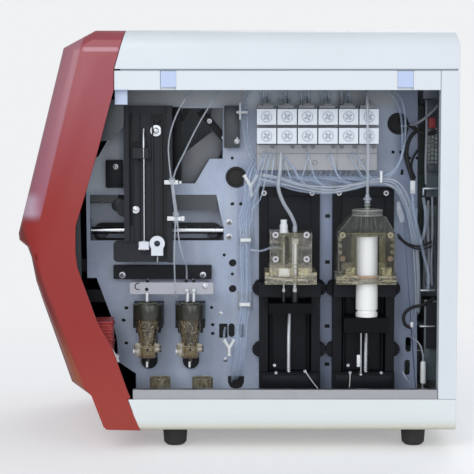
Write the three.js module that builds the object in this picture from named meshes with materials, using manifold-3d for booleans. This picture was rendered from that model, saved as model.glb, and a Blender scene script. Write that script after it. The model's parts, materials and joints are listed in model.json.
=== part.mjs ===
// A hematology analyzer with its service side cover taken off, in millimetres, +Z up.
// The red nose points to -X, the open service side to -Y, the rear panel to +X.
// The origin is at the middle of the footprint, on the surface that the feet stand on.

import * as THREE from 'three';
import { mergeVertices } from 'three/addons/utils/BufferGeometryUtils.js';
import Module from 'manifold-3d';

// Length of the cabinet, from the nose to the rear, as the bays that follow each other
const NOSE_DEPTH = 64;
const SAMPLER_BAY = 189;
const SMALL_PUMP_WIDTH = 66.2;
const PUMP_SPACING = 13.7;
const LARGE_PUMP_WIDTH = 66.8;
const REAR_BAY = 39.3;
const POST_WIDTH = 19;
const LENGTH = NOSE_DEPTH + SAMPLER_BAY + SMALL_PUMP_WIDTH + PUMP_SPACING + LARGE_PUMP_WIDTH + REAR_BAY + POST_WIDTH;

// Height of the cabinet, from the table to the cover, as the layers that lie on each other
const FOOT_HEIGHT = 21.5;
const SKIRT_HEIGHT = 33;
const SILL_HEIGHT = 10;
const PUMP_DROP = 8.5;
const PUMP_HEIGHT = 226;
const VALVE_GAP = 19;
const VALVE_STACK = 66;
const HOSE_SPACE = 19.6;
const RAIL_HEIGHT = 19.8;
const COVER_GAP = 1.7;
const COVER_HEIGHT = 39.9;
const SKIRT_TOP = FOOT_HEIGHT + SKIRT_HEIGHT;
const SILL_TOP = SKIRT_TOP + SILL_HEIGHT;
const PUMP_BOTTOM = SKIRT_TOP - PUMP_DROP;
const VALVE_BOTTOM = PUMP_BOTTOM + PUMP_HEIGHT + VALVE_GAP;
const RAIL_BOTTOM = VALVE_BOTTOM + VALVE_STACK + HOSE_SPACE;
const RAIL_TOP = RAIL_BOTTOM + RAIL_HEIGHT;
const COVER_BOTTOM = RAIL_TOP + COVER_GAP;
const HEIGHT = COVER_BOTTOM + COVER_HEIGHT;

// Width of the cabinet, from the service side to the far side
const BAY_DEPTH = 95;
const PLATE_THICKNESS = 2;
const FAR_DEPTH = 233;
const WIDTH = BAY_DEPTH + PLATE_THICKNESS + FAR_DEPTH;

// Sheet, gaps and faces that all pieces share
const SKIN = 2;
const FIT = 0.3;
const OVERRUN = 20;
const EDGE_ROLL = 20;
const NOSE_X = -LENGTH / 2;
const REAR_X = LENGTH / 2;
const NEAR_Y = -WIDTH / 2;
const FAR_Y = WIDTH / 2;
const PLATE_Y = NEAR_Y + BAY_DEPTH;
const PLATE_BACK_Y = PLATE_Y + PLATE_THICKNESS;
const PLATE_FRONT_X = NOSE_X + NOSE_DEPTH;
const SMALL_PUMP_X = PLATE_FRONT_X + SAMPLER_BAY;
const LARGE_PUMP_X = SMALL_PUMP_X + SMALL_PUMP_WIDTH + PUMP_SPACING;
const POST_X = LARGE_PUMP_X + LARGE_PUMP_WIDTH + REAR_BAY;
const FLOOR_Z = FOOT_HEIGHT + SKIN;

// Solids

const MERGE_TOLERANCE = 1e-4;
const wasm = await Module();
wasm.setup();

function solidOf(geometry) {
  const bare = geometry.clone();
  bare.deleteAttribute('normal');
  bare.deleteAttribute('uv');
  const merged = mergeVertices(bare, MERGE_TOLERANCE);
  const places = merged.attributes.position.array;
  const corners = Array.from(merged.index.array);
  let volume = 0;
  for (let i = 0; i < corners.length; i += 3) {
    const [a, b, c] = [0, 1, 2].map((k) => new THREE.Vector3().fromArray(places, corners[i + k] * 3));
    volume += a.dot(b.cross(c));
  }
  if (volume < 0) corners.reverse();
  const vertProperties = new Float32Array(places);
  const triVerts = new Uint32Array(corners);
  return new wasm.Manifold(new wasm.Mesh({ numProp: 3, vertProperties, triVerts }));
}

function join(first, ...others) {
  return others.flat().reduce((sum, other) => sum.add(other), first);
}

function cut(first, ...others) {
  return others.flat().reduce((rest, other) => rest.subtract(other), first);
}

function box(x0, x1, y0, y1, z0, z1) {
  const geometry = new THREE.BoxGeometry(x1 - x0, y1 - y0, z1 - z0);
  geometry.translate((x0 + x1) / 2, (y0 + y1) / 2, (z0 + z1) / 2);
  return solidOf(geometry);
}

// Each axis has the turn that takes an outline drawn in x and y, thick along z, to that axis.
const AXIS_TURNS = {
  X: new THREE.Matrix4().makeBasis(new THREE.Vector3(0, 1, 0), new THREE.Vector3(0, 0, 1), new THREE.Vector3(1, 0, 0)),
  Y: new THREE.Matrix4().makeBasis(new THREE.Vector3(1, 0, 0), new THREE.Vector3(0, 0, 1), new THREE.Vector3(0, -1, 0)),
  Z: new THREE.Matrix4(),
};

// A prism of an outline given as [y, z] for axis X, [x, z] for axis Y and [x, y] for axis Z
function prism(axis, outline, from, to) {
  const shape = new THREE.Shape(outline.map(([a, b]) => new THREE.Vector2(a, b)));
  const geometry = new THREE.ExtrudeGeometry(shape, { depth: to - from, bevelEnabled: false });
  geometry.translate(0, 0, axis === 'Y' ? -to : from);
  geometry.applyMatrix4(AXIS_TURNS[axis]);
  return solidOf(geometry);
}

function circle(a, b, radius, sides) {
  return Array.from({ length: sides }, (_, i) => {
    const turn = (2 * Math.PI * (i + 0.5)) / sides;
    return [a + radius * Math.cos(turn), b + radius * Math.sin(turn)];
  });
}

function rod(axis, radius, from, to, a, b, sides = 24) {
  return prism(axis, circle(a, b, radius, sides), from, to);
}

function roundedBox(axis, a0, a1, b0, b1, radius, from, to, stepsPerCorner = 3) {
  const corners = [
    [a1 - radius, b1 - radius],
    [a0 + radius, b1 - radius],
    [a0 + radius, b0 + radius],
    [a1 - radius, b0 + radius],
  ];
  const outline = corners.flatMap(([a, b], corner) =>
    Array.from({ length: stepsPerCorner + 1 }, (_, i) => {
      const turn = (Math.PI / 2) * (corner + i / stepsPerCorner);
      return [a + radius * Math.cos(turn), b + radius * Math.sin(turn)];
    }),
  );
  return prism(axis, outline, from, to);
}

// A turned piece round an upright axis; the profile is given as [radius, z]
function turned(profile, x, y, sides = 32) {
  const geometry = new THREE.LatheGeometry(profile.map(([r, z]) => new THREE.Vector2(r, z)), sides);
  geometry.rotateX(Math.PI / 2);
  geometry.translate(x, y, 0);
  return solidOf(geometry);
}

// A round hose along a smooth curve through its points
function hose(points, radius, steps, sides = 8) {
  const path = new THREE.CatmullRomCurve3(points.map((p) => new THREE.Vector3(...p)), false, 'centripetal');
  const ring = new THREE.Shape(circle(0, 0, radius, sides).map(([a, b]) => new THREE.Vector2(a, b)));
  return solidOf(new THREE.ExtrudeGeometry(ring, { steps, extrudePath: path, bevelEnabled: false }));
}

// A closed body through rings of points, all with as many points and the first and last one flat
function loft(rings) {
  const count = rings[0].length;
  const places = rings.flat().flatMap((p) => p.toArray());
  const corners = [];
  for (let r = 0; r + 1 < rings.length; r += 1) {
    for (let i = 0; i < count; i += 1) {
      const [a, b] = [r * count + i, r * count + ((i + 1) % count)];
      corners.push(a, b, a + count, b, b + count, a + count);
    }
  }
  const flat = (ring) => ring.map((p) => new THREE.Vector2(p.x, p.z));
  const last = (rings.length - 1) * count;
  for (const [a, b, c] of THREE.ShapeUtils.triangulateShape(flat(rings[0]), [])) corners.push(a, c, b);
  for (const [a, b, c] of THREE.ShapeUtils.triangulateShape(flat(rings.at(-1)), [])) {
    corners.push(last + a, last + b, last + c);
  }
  const geometry = new THREE.BufferGeometry();
  geometry.setAttribute('position', new THREE.Float32BufferAttribute(places, 3));
  geometry.setIndex(corners);
  return solidOf(geometry);
}

// An outline moved inwards by a wall, corner by corner
function inset(outline, wall) {
  const area = outline.reduce((sum, [x, z], i) => {
    const [nextX, nextZ] = outline[(i + 1) % outline.length];
    return sum + x * nextZ - nextX * z;
  }, 0);
  const side = Math.sign(area);
  return outline.map((point, i) => {
    const here = new THREE.Vector2(...point);
    const before = new THREE.Vector2(...outline.at(i - 1));
    const after = new THREE.Vector2(...outline[(i + 1) % outline.length]);
    const first = here.clone().sub(before).normalize();
    const second = after.sub(here).normalize();
    const inwards = new THREE.Vector2(-first.y - second.y, first.x + second.x).normalize();
    const reach = (side * wall) / Math.max(inwards.dot(new THREE.Vector2(-first.y, first.x)), 0.5);
    return [here.x + inwards.x * reach, here.y + inwards.y * reach];
  });
}

// Finishes

function finish(color, roughness, metalness) {
  return new THREE.MeshStandardMaterial({ color, roughness, metalness });
}

const whitePaint = finish(0xdde7ee, 0.45, 0);
const redPlastic = finish(0x9e4040, 0.35, 0);
const blackPlastic = finish(0x1d1e22, 0.5, 0);
const blackPaint = finish(0x2a2c33, 0.5, 0.1);
const platePaint = finish(0xa5b4cd, 0.45, 0.3);
const bareSteel = finish(0xb9bcc2, 0.3, 0.9);
const lightPlastic = finish(0xe6eaf0, 0.4, 0);
const clearAmber = finish(0x6f6b4c, 0.15, 0);
const rubberBlack = finish(0x2f2d2c, 0.8, 0);
const boardGreen = finish(0x1f4a36, 0.5, 0);
const glassDark = finish(0x10141a, 0.08, 0);
const hoseClear = finish(0xb8c2cc, 0.2, 0);

const analyzer = new THREE.Group();

function piece(name, solid, material, parent = analyzer) {
  const made = solid.getMesh();
  const geometry = new THREE.BufferGeometry();
  geometry.setAttribute('position', new THREE.BufferAttribute(new Float32Array(made.vertProperties), 3));
  geometry.setIndex(new THREE.BufferAttribute(new Uint32Array(made.triVerts), 1));
  geometry.computeVertexNormals();
  const mesh = new THREE.Mesh(geometry, material);
  mesh.name = name;
  parent.add(mesh);
  return mesh;
}

function groupAt(x, y, z) {
  const group = new THREE.Group();
  group.position.set(x, y, z);
  analyzer.add(group);
  return group;
}

// Red nose: its outlines, as shares of the cabinet's length and height

const NOSE_BEVEL = 22;
const SHELL_WALL = 3;
const BEVEL_STEPS = 3;
const SIDE_OUTLINE_SHARES = [
  [-0.264, 0.954], [-0.329, 0.954], [-0.338, 0.95], [-0.443, 0.553], [-0.451, 0.5205], [-0.455, 0.491],
  [-0.451, 0.457], [-0.443, 0.413], [-0.426, 0.361], [-0.356, 0.186], [-0.343, 0.151],
];
const FRONT_OUTLINE_SHARES = [
  [-0.2515, 1], [-0.32, 1], [-0.393, 0.959], [-0.5, 0.518], [-0.498, 0.502], [-0.48, 0.488],
  [-0.471, 0.466], [-0.46, 0.406], [-0.445, 0.357], [-0.381, 0.16], [-0.348, 0.138],
];
const TOE_SHARES = [[-0.332, 0.133], [-0.305, 0.058], [-0.298, 0.051]];
const SEAM_SHARES = [
  [-0.221, 0.0493], [-0.25, 0.117], [-0.243, 0.125], [-0.252, 0.151], [-0.284, 0.2475], [-0.319, 0.314],
  [-0.3615, 0.4395], [-0.366, 0.477], [-0.365, 0.539], [-0.3465, 0.601], [-0.313, 0.719], [-0.277, 0.86],
  [-0.2765, 0.909],
];

const fromShares = (shares) => shares.map(([x, z]) => [x * LENGTH, z * HEIGHT]);
const seam = fromShares(SEAM_SHARES);
// The seam steps forward just above the skirt and ends where the cover starts.
seam[1][1] = SKIRT_TOP + FIT;
seam[2][1] = SKIRT_TOP + FIT * 5;
seam.at(-1)[1] = COVER_BOTTOM;
const sideOutline = fromShares(SIDE_OUTLINE_SHARES);
const frontOutline = fromShares(FRONT_OUTLINE_SHARES);
const toe = fromShares(TOE_SHARES);
const openBackX = Math.max(...seam.map(([x]) => x)) + OVERRUN;

// The outline at one step of the bevel, closed along the seam, or straight behind it for a hollow
function noseOutline(step, wall) {
  const share = Math.sin((Math.PI / 2) * (step / BEVEL_STEPS));
  const front = sideOutline.map(([x, z], i) => [
    x + (frontOutline[i][0] - x) * share,
    z + (frontOutline[i][1] - z) * share,
  ]);
  if (!wall) return [...front, ...toe, ...seam];
  const whole = inset([...front, ...toe, ...seam], wall).slice(0, front.length + toe.length);
  const top = whole[0][1];
  const bottom = whole.at(-1)[1];
  const back = seam.map((_, i) => [openBackX, bottom + ((top - bottom) * i) / (seam.length - 1)]);
  return [...whole, ...back];
}

function noseBody(wall) {
  const half = Array.from({ length: BEVEL_STEPS + 1 }, (_, step) => {
    const y = WIDTH / 2 - wall - NOSE_BEVEL * (1 - Math.cos((Math.PI / 2) * (step / BEVEL_STEPS)));
    return { y, outline: noseOutline(step, wall) };
  });
  const ring = ({ y, outline }, side) => outline.map(([x, z]) => new THREE.Vector3(x, side * y, z));
  return loft([...half.map((h) => ring(h, -1)), ...half.toReversed().map((h) => ring(h, 1))]);
}

// Where a cabinet panel stops in front: the seam, a fit behind the red nose
function behindSeam(points) {
  return points.map(([x, z]) => [x + FIT * 2, z]);
}

function seamAt(height) {
  const above = seam.findIndex(([, z]) => z >= height);
  const [x0, z0] = seam[above - 1];
  const [x1, z1] = seam[above];
  return x0 + ((x1 - x0) * (height - z0)) / (z1 - z0);
}

const SEAM_TOP_X = frontOutline[0][0];
const COVER_FRONT_X = seam.at(-1)[0];
const SKIRT_FRONT = seam.slice(0, 2);

// Cabinet section: an upright U with rolled edges, as [y, z]
function rolledSection(wall, foldZ, openZ) {
  const upwards = Math.sign(openZ - foldZ);
  const side = WIDTH / 2 - wall;
  const fold = foldZ + upwards * wall;
  const radius = EDGE_ROLL - wall;
  const steps = 5;
  const arc = Array.from({ length: steps + 1 }, (_, i) => {
    const turn = (Math.PI / 2) * (i / steps);
    return [side - radius + radius * Math.cos(turn), fold + upwards * radius * (1 - Math.sin(turn))];
  });
  const right = [[side, openZ], ...arc];
  const left = right.toReversed().map(([y, z]) => [-y, z]);
  return [...right, ...left];
}

// Base tray, sill and feet

const trayFront = behindSeam(SKIRT_FRONT);
const trayLine = [[trayFront[0][0], FOOT_HEIGHT], [trayFront[1][0], SKIRT_TOP]];
const trayBlank = prism('X', rolledSection(0, FOOT_HEIGHT, SKIRT_TOP), trayLine[1][0] - OVERRUN, REAR_X);
const trayHollow = prism(
  'X', rolledSection(SKIN, FOOT_HEIGHT, SKIRT_TOP + OVERRUN), trayLine[1][0] - 2 * OVERRUN, REAR_X - SKIN);
const slantedFront = (line) => [
  [line[0][0], line[0][1] - FIT],
  [line[1][0], line[1][1] + FIT],
  [line[1][0] - 2 * OVERRUN, line[1][1] + FIT],
  [line[1][0] - 2 * OVERRUN, line[0][1] - FIT],
];
piece(
  'base_tray',
  cut(trayBlank, trayHollow, prism('Y', slantedFront(trayLine), NEAR_Y - OVERRUN, FAR_Y + OVERRUN)),
  whitePaint,
);

const SILL_THICKNESS = 1.5;
const SILL_OVERLAP = 12;
const SILL_LEDGE = 8;
const sillY = NEAR_Y + SKIN + FIT;
const sillFrontX = Math.max(seam[2][0], seamAt(SKIRT_TOP - SILL_OVERLAP)) + FIT * 2;
const sillEndX = POST_X - FIT;
piece(
  'base_sill',
  join(
    box(sillFrontX, sillEndX, sillY, sillY + SILL_THICKNESS, SKIRT_TOP - SILL_OVERLAP, SILL_TOP),
    box(sillFrontX, sillEndX, sillY, sillY + SILL_LEDGE, SILL_TOP - SILL_THICKNESS, SILL_TOP),
  ),
  bareSteel,
);

const FOOT_RADIUS = 13.5;
const FOOT_TIP_RADIUS = 12;
const FOOT_TIP = 3;
const FRONT_FOOT_INSET = 163;
const REAR_FOOT_INSET = 41;
const FOOT_SIDE_INSET = 37;
const footTop = FOOT_HEIGHT - FIT;
for (const [end, x] of [['front', NOSE_X + FRONT_FOOT_INSET], ['rear', REAR_X - REAR_FOOT_INSET]]) {
  for (const [side, y] of [['near', NEAR_Y + FOOT_SIDE_INSET], ['far', FAR_Y - FOOT_SIDE_INSET]]) {
    const profile = [[0, 0], [FOOT_TIP_RADIUS - FOOT_TIP, 0], [FOOT_TIP_RADIUS, FOOT_TIP], [FOOT_RADIUS, footTop], [0, footTop]];
    piece(`foot_${end}_${side}`, turned(profile, x, y, 20), rubberBlack);
  }
}

// Top rail with its two notched tabs, rear post, rear panel and covers

const RAIL_SETBACK = 1.7;
const RAIL_SHEET = 1.6;
const RAIL_DEPTH = 15;
const TAB_WIDTH = 16.5;
const TAB_SETBACK = 1.4;
const FRONT_TAB_SHARE = 0.165;
const REAR_TAB_SHARE = 0.892;
const TAB_HOLE_RADIUS = 1.8;
const DROP_TAB_WIDTH = 13;
const DROP_TAB_HEIGHT = 15;
const railY = NEAR_Y + RAIL_SETBACK;
const railFront = behindSeam([[seamAt(RAIL_BOTTOM), RAIL_BOTTOM], [COVER_FRONT_X, RAIL_TOP]]);
const railFrontX = railFront[0][0];
const railEndX = POST_X - FIT;
const railLength = railEndX - railFrontX;
let topRail = join(
  box(railFrontX, railEndX, railY, railY + RAIL_SHEET, RAIL_BOTTOM, RAIL_TOP),
  box(railFrontX, railEndX, railY, railY + RAIL_DEPTH, RAIL_BOTTOM, RAIL_BOTTOM + RAIL_SHEET),
  box(railFrontX, railEndX, railY, railY + RAIL_DEPTH, RAIL_TOP - RAIL_SHEET, RAIL_TOP),
);
for (const share of [FRONT_TAB_SHARE, REAR_TAB_SHARE]) {
  const middle = railFrontX + share * railLength;
  const tabY = railY + RAIL_SHEET + TAB_SETBACK;
  const [left, right] = [middle - TAB_WIDTH / 2, middle + TAB_WIDTH / 2];
  topRail = cut(topRail, box(left, right, railY - OVERRUN, tabY, RAIL_BOTTOM - FIT, RAIL_TOP + FIT));
  topRail = join(topRail, box(left - RAIL_SHEET, right + RAIL_SHEET, tabY, tabY + RAIL_SHEET, RAIL_BOTTOM, RAIL_TOP));
  topRail = cut(topRail, rod('Y', TAB_HOLE_RADIUS, railY - OVERRUN, tabY + OVERRUN, middle, (RAIL_BOTTOM + RAIL_TOP) / 2));
}
const dropTabY = railY + RAIL_DEPTH / 2;
topRail = join(topRail, box(
  railFrontX, railFrontX + DROP_TAB_WIDTH, dropTabY, dropTabY + RAIL_SHEET,
  RAIL_BOTTOM - DROP_TAB_HEIGHT, RAIL_BOTTOM + RAIL_SHEET));
piece('top_rail', topRail, whitePaint);

const POST_LIP = 18;
const postTop = RAIL_TOP;
const postBottom = SKIRT_TOP + FIT;
piece(
  'rear_post',
  join(
    box(POST_X, REAR_X, NEAR_Y, NEAR_Y + SKIN, postBottom, postTop),
    box(POST_X, POST_X + SKIN, NEAR_Y, NEAR_Y + POST_LIP, postBottom, postTop),
    box(REAR_X - SKIN, REAR_X, NEAR_Y, NEAR_Y + POST_LIP, postBottom, postTop),
  ),
  whitePaint,
);

const REAR_CORNER_FALL = 15;
const REAR_CORNER_RUN = 4;
const coverLine = [[COVER_FRONT_X + FIT * 2, COVER_BOTTOM], [SEAM_TOP_X + FIT * 2, HEIGHT]];
const coverProfile = (wall) => [
  [coverLine[0][0] - (wall ? OVERRUN : 0), COVER_BOTTOM - (wall ? OVERRUN : 0)],
  [REAR_X - wall, COVER_BOTTOM - (wall ? OVERRUN : 0)],
  [REAR_X - wall, HEIGHT - wall - REAR_CORNER_FALL],
  [REAR_X - wall - REAR_CORNER_RUN, HEIGHT - wall],
  [coverLine[1][0] - (wall ? OVERRUN : 0), HEIGHT - wall],
];
const coverLength = [COVER_FRONT_X - OVERRUN, REAR_X + OVERRUN];
const coverBody = (wall) =>
  prism('X', rolledSection(wall, HEIGHT, COVER_BOTTOM - (wall ? OVERRUN : 0)), ...coverLength)
    .intersect(prism('Y', coverProfile(wall), NEAR_Y - OVERRUN, FAR_Y + OVERRUN));
piece('top_cover', cut(coverBody(0), coverBody(SKIN)), whitePaint);

const panelBottom = SKIRT_TOP + FIT;
const panelTop = COVER_BOTTOM - FIT;
const panelSeam = behindSeam([
  [seamAt(panelBottom), panelBottom],
  ...seam.filter(([, z]) => z > panelBottom && z < panelTop),
  [seamAt(panelTop), panelTop],
]);
const VENT_COUNT = 12;
const VENT_WIDTH = 4;
const VENT_ROUND = 1.3;
const VENT_HEIGHT = 46;
const VENT_PITCH = 11;
const VENT_REAR_INSET = 40;
const ventBottomShares = [0.27, 0.68];
const vents = ventBottomShares.flatMap((share) =>
  Array.from({ length: VENT_COUNT }, (_, i) => {
    const x = REAR_X - VENT_REAR_INSET - i * VENT_PITCH;
    return roundedBox('Y', x - VENT_WIDTH, x, share * HEIGHT, share * HEIGHT + VENT_HEIGHT,
      VENT_ROUND, FAR_Y - OVERRUN, FAR_Y + OVERRUN, 1);
  }),
);
piece(
  'far_side_cover',
  cut(prism('Y', [...panelSeam, [REAR_X, panelTop], [REAR_X, panelBottom]], FAR_Y - SKIN, FAR_Y), vents),
  whitePaint,
);

// Rear panel with its fan, power inlet and switch, and hose ports

const FAN_SIZE = 60;
const FAN_THICKNESS = 15;
const FAN_BORE = 28;
const FAN_Y_SHARE = 0.2;
const FAN_Z_SHARE = 0.7;
const INLET_WIDTH = 30;
const INLET_HEIGHT = 50;
const INLET_DEPTH = 28;
const INLET_RIM = 3;
const INLET_Y_SHARE = 0.34;
const INLET_Z_SHARE = 0.22;
const PORT_BOX_WIDTH = 60;
const PORT_BOX_HEIGHT = 50;
const PORT_BOX_DEPTH = 24;
const PORT_Y_SHARE = -0.2;
const PORT_Z_SHARE = 0.28;
const PORT_COUNT = 4;
const PORT_RADIUS = 3;
const BARB_RADIUS = 4;
const BARB_LENGTH = 14;
const fanY = FAN_Y_SHARE * WIDTH;
const fanZ = FAN_Z_SHARE * HEIGHT;
const inletY = INLET_Y_SHARE * WIDTH;
const inletZ = INLET_Z_SHARE * HEIGHT;
const portY = PORT_Y_SHARE * WIDTH;
const portZ = PORT_Z_SHARE * HEIGHT;
const panelX = REAR_X - SKIN;
const cutRear = [panelX - OVERRUN, REAR_X + OVERRUN];
piece(
  'rear_panel',
  cut(
    box(panelX, REAR_X, NEAR_Y + POST_LIP + FIT, FAR_Y - SKIN - FIT, panelBottom, panelTop),
    rod('X', FAN_BORE, ...cutRear, fanY, fanZ, 40),
    box(...cutRear, inletY - INLET_WIDTH / 2 - FIT, inletY + INLET_WIDTH / 2 + FIT,
      inletZ - INLET_HEIGHT / 2 - FIT, inletZ + INLET_HEIGHT / 2 + FIT),
    box(...cutRear, portY - PORT_BOX_WIDTH / 2 - FIT, portY + PORT_BOX_WIDTH / 2 + FIT,
      portZ - PORT_BOX_HEIGHT / 2 - FIT, portZ + PORT_BOX_HEIGHT / 2 + FIT),
  ),
  whitePaint,
);

const fan = groupAt(panelX - FIT, fanY, fanZ);
const FAN_SPOKE = 3;
const FAN_HUB = 12;
const FAN_TIP_GAP = 1.5;
const FAN_BLADES = 7;
const FAN_BLADE_THICKNESS = 2;
const FAN_FRONT_PLATE = 2;
const fanCorner = 4;
piece(
  'fan_frame',
  join(
    cut(
      roundedBox('X', -FAN_SIZE / 2, FAN_SIZE / 2, -FAN_SIZE / 2, FAN_SIZE / 2, fanCorner, -FAN_THICKNESS, 0),
      rod('X', FAN_BORE, -FAN_THICKNESS - OVERRUN, OVERRUN, 0, 0, 40),
    ),
    rod('X', FAN_HUB, -FAN_THICKNESS, -FAN_THICKNESS + FAN_FRONT_PLATE, 0, 0, 20),
    box(-FAN_THICKNESS, -FAN_THICKNESS + FAN_FRONT_PLATE, -FAN_BORE - FIT, FAN_BORE + FIT, -FAN_SPOKE / 2, FAN_SPOKE / 2),
    box(-FAN_THICKNESS, -FAN_THICKNESS + FAN_FRONT_PLATE, -FAN_SPOKE / 2, FAN_SPOKE / 2, -FAN_BORE - FIT, FAN_BORE + FIT),
  ),
  blackPlastic,
  fan,
);
const rotorBack = -FAN_THICKNESS + FAN_FRONT_PLATE + FIT;
const rotorFront = -FAN_FRONT_PLATE;
const bladeTip = FAN_BORE - FAN_TIP_GAP;
const blade = (turn) => {
  const across = [Math.cos(turn), Math.sin(turn)];
  const aside = [-across[1], across[0]];
  const corner = (along, off, lean) => [
    along * across[0] + (off + lean) * aside[0],
    along * across[1] + (off + lean) * aside[1],
  ];
  const ring = (x, lean) => [
    [FAN_HUB / 2, 0], [bladeTip, 0], [bladeTip, FAN_BLADE_THICKNESS], [FAN_HUB / 2, FAN_BLADE_THICKNESS],
  ].map(([along, off]) => {
    const [y, z] = corner(along, off, lean);
    return new THREE.Vector3(x, y, z);
  });
  const twist = FAN_BLADE_THICKNESS * 2;
  const rings = [ring(rotorBack, -twist), ring(rotorFront, twist)];
  const places = rings.flat().flatMap((p) => p.toArray());
  const geometry = new THREE.BufferGeometry();
  geometry.setAttribute('position', new THREE.Float32BufferAttribute(places, 3));
  geometry.setIndex([
    0, 1, 4, 1, 5, 4, 1, 2, 5, 2, 6, 5, 2, 3, 6, 3, 7, 6, 3, 0, 7, 0, 4, 7, 0, 3, 1, 1, 3, 2, 4, 5, 7, 5, 6, 7,
  ]);
  return solidOf(geometry);
};
piece(
  'fan_rotor',
  join(
    rod('X', FAN_HUB - FIT, rotorBack, rotorFront, 0, 0, 28),
    Array.from({ length: FAN_BLADES }, (_, i) => blade((2 * Math.PI * i) / FAN_BLADES)),
  ),
  blackPlastic,
  fan,
);

const inlet = groupAt(REAR_X, inletY, inletZ);
const SWITCH_WIDTH = 20;
const SWITCH_HEIGHT = 13;
const SWITCH_RISE = 15;
const SWITCH_DEPTH = 8;
const SOCKET_HEIGHT = 18;
const SOCKET_DEPTH = 18;
const SOCKET_DROP = 11;
const SWITCH_PLAY = 1.2;
piece(
  'power_inlet',
  cut(
    box(-INLET_DEPTH, 0, -INLET_WIDTH / 2, INLET_WIDTH / 2, -INLET_HEIGHT / 2, INLET_HEIGHT / 2),
    box(-SOCKET_DEPTH, OVERRUN, -INLET_WIDTH / 2 + INLET_RIM, INLET_WIDTH / 2 - INLET_RIM,
      -SOCKET_DROP - SOCKET_HEIGHT / 2, -SOCKET_DROP + SOCKET_HEIGHT / 2),
    box(-SWITCH_DEPTH - SWITCH_PLAY, OVERRUN, -SWITCH_WIDTH / 2 - FIT, SWITCH_WIDTH / 2 + FIT,
      SWITCH_RISE - SWITCH_HEIGHT / 2 - SWITCH_PLAY, SWITCH_RISE + SWITCH_HEIGHT / 2 + SWITCH_PLAY),
  ),
  blackPlastic,
  inlet,
);
const ROCKER_DISH = 1.5;
const rockerHalf = SWITCH_HEIGHT / 2;
const rockerSide = [
  [-SWITCH_DEPTH / 2, SWITCH_RISE - rockerHalf],
  [-FIT, SWITCH_RISE - rockerHalf],
  [-ROCKER_DISH, SWITCH_RISE],
  [-FIT, SWITCH_RISE + rockerHalf],
  [-SWITCH_DEPTH / 2, SWITCH_RISE + rockerHalf],
  [-SWITCH_DEPTH, SWITCH_RISE],
];
piece('power_switch', prism('Y', rockerSide, -SWITCH_WIDTH / 2, SWITCH_WIDTH / 2), blackPlastic, inlet);

const ports = groupAt(REAR_X, portY, portZ);
const portSpan = PORT_BOX_WIDTH - 2 * SKIN;
const portPlaces = Array.from({ length: PORT_COUNT }, (_, i) => portSpan * ((i + 0.5) / PORT_COUNT - 0.5));
piece(
  'fluid_ports',
  join(
    cut(
      box(-PORT_BOX_DEPTH, 0, -PORT_BOX_WIDTH / 2, PORT_BOX_WIDTH / 2, -PORT_BOX_HEIGHT / 2, PORT_BOX_HEIGHT / 2),
      box(-PORT_BOX_DEPTH + SKIN, OVERRUN, -PORT_BOX_WIDTH / 2 + SKIN, PORT_BOX_WIDTH / 2 - SKIN,
        -PORT_BOX_HEIGHT / 2 + SKIN, PORT_BOX_HEIGHT / 2 - SKIN),
    ),
    portPlaces.map((y) => rod('X', PORT_RADIUS, -PORT_BOX_DEPTH - BARB_LENGTH / 2, -PORT_BOX_DEPTH + BARB_LENGTH, y, 0, 12)),
    portPlaces.map((y) => rod('X', BARB_RADIUS, -PORT_BOX_DEPTH + SKIN, -PORT_BOX_DEPTH + SKIN * 3, y, 0, 12)),
  ),
  blackPlastic,
  ports,
);

// Mid plate: it carries the sampler, baths, valves and pumps on its near face

const ROD_INSET = 4.5;
const ROD_LENGTH = 146;
const ROD_RADIUS = 4;
const CUP_RISE = 3;
const DRAIN_GAP = 22.4;
const BATH_HEIGHT = 57.6;
const STUB_GAP = 1.5;
const STUB_LENGTH = 9;
const RINSE_BAR_HEIGHT = 12.8;
const BAR_GAP = 0.8;
const SENSOR_BAR_HEIGHT = 14.8;
const CARRIAGE_GAP = 6.7;
const ROD_RISE = 30.4;
const BATH_1_X = 68.7;
const BATH_SPACING = 45.7;
const bathBottom = SILL_TOP + CUP_RISE + DRAIN_GAP;
const bathTop = bathBottom + BATH_HEIGHT;
const rinseBottom = bathTop + STUB_GAP + STUB_LENGTH;
const rinseTop = rinseBottom + RINSE_BAR_HEIGHT;
const sensorBottom = rinseTop + BAR_GAP;
const sensorTop = sensorBottom + SENSOR_BAR_HEIGHT;
const carriageBottom = sensorTop + CARRIAGE_GAP;
const rodZ = carriageBottom + ROD_RISE;
const rodX = PLATE_FRONT_X + ROD_INSET;
const bathPlaces = [PLATE_FRONT_X + BATH_1_X, PLATE_FRONT_X + BATH_1_X + BATH_SPACING];

const PLATE_SHARES = [
  [-0.358, 0.392], [-0.336, 0.392], [-0.299, 0.288], [-0.288, 0.235], [-0.285, 0.18], [-0.243, 0.15],
  [-0.243, 0.08], [0.433, 0.08], [0.428, 0.885], [-0.267, 0.885], [-0.267, 0.824], [-0.296, 0.757],
  [-0.329, 0.697], [-0.36, 0.675], [-0.36, 0.62],
];
const WINDOW_SHARES = [
  [-0.137, 0.6285], [-0.1, 0.6285], [-0.065, 0.69], [-0.034, 0.69], [-0.034, 0.8155], [-0.137, 0.8155],
];
const GROMMET_RADIUS = 11.5;
const GROMMET_SHARES = [[-0.0015, 0.644], [0.382, 0.778]];
const PLATE_HOLE_RADIUS = 4;
const PLATE_HOLE_SHARES = [[-0.01, 0.43], [-0.01, 0.365]];
const SCREW_HOLE_RADIUS = 1.8;
const SCREW_HOLE_SHARES = [
  [-0.264, 0.3165], [-0.2705, 0.285], [-0.265, 0.2275], [-0.0575, 0.274], [-0.0575, 0.252],
  [-0.01, 0.578], [0.0095, 0.578], [0.371, 0.7065], [0.389, 0.7065], [0.3925, 0.6535],
];
const OVAL_SHARES = [[0.411, 0.224], [0.409, 0.166]];
const OVAL_WIDTH = 6;
const OVAL_HEIGHT = 17;
const OPENING_RISE = 39.5;
const OPENING_DROP = 10.6;
const PLATE_FOOT = 18;
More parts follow.
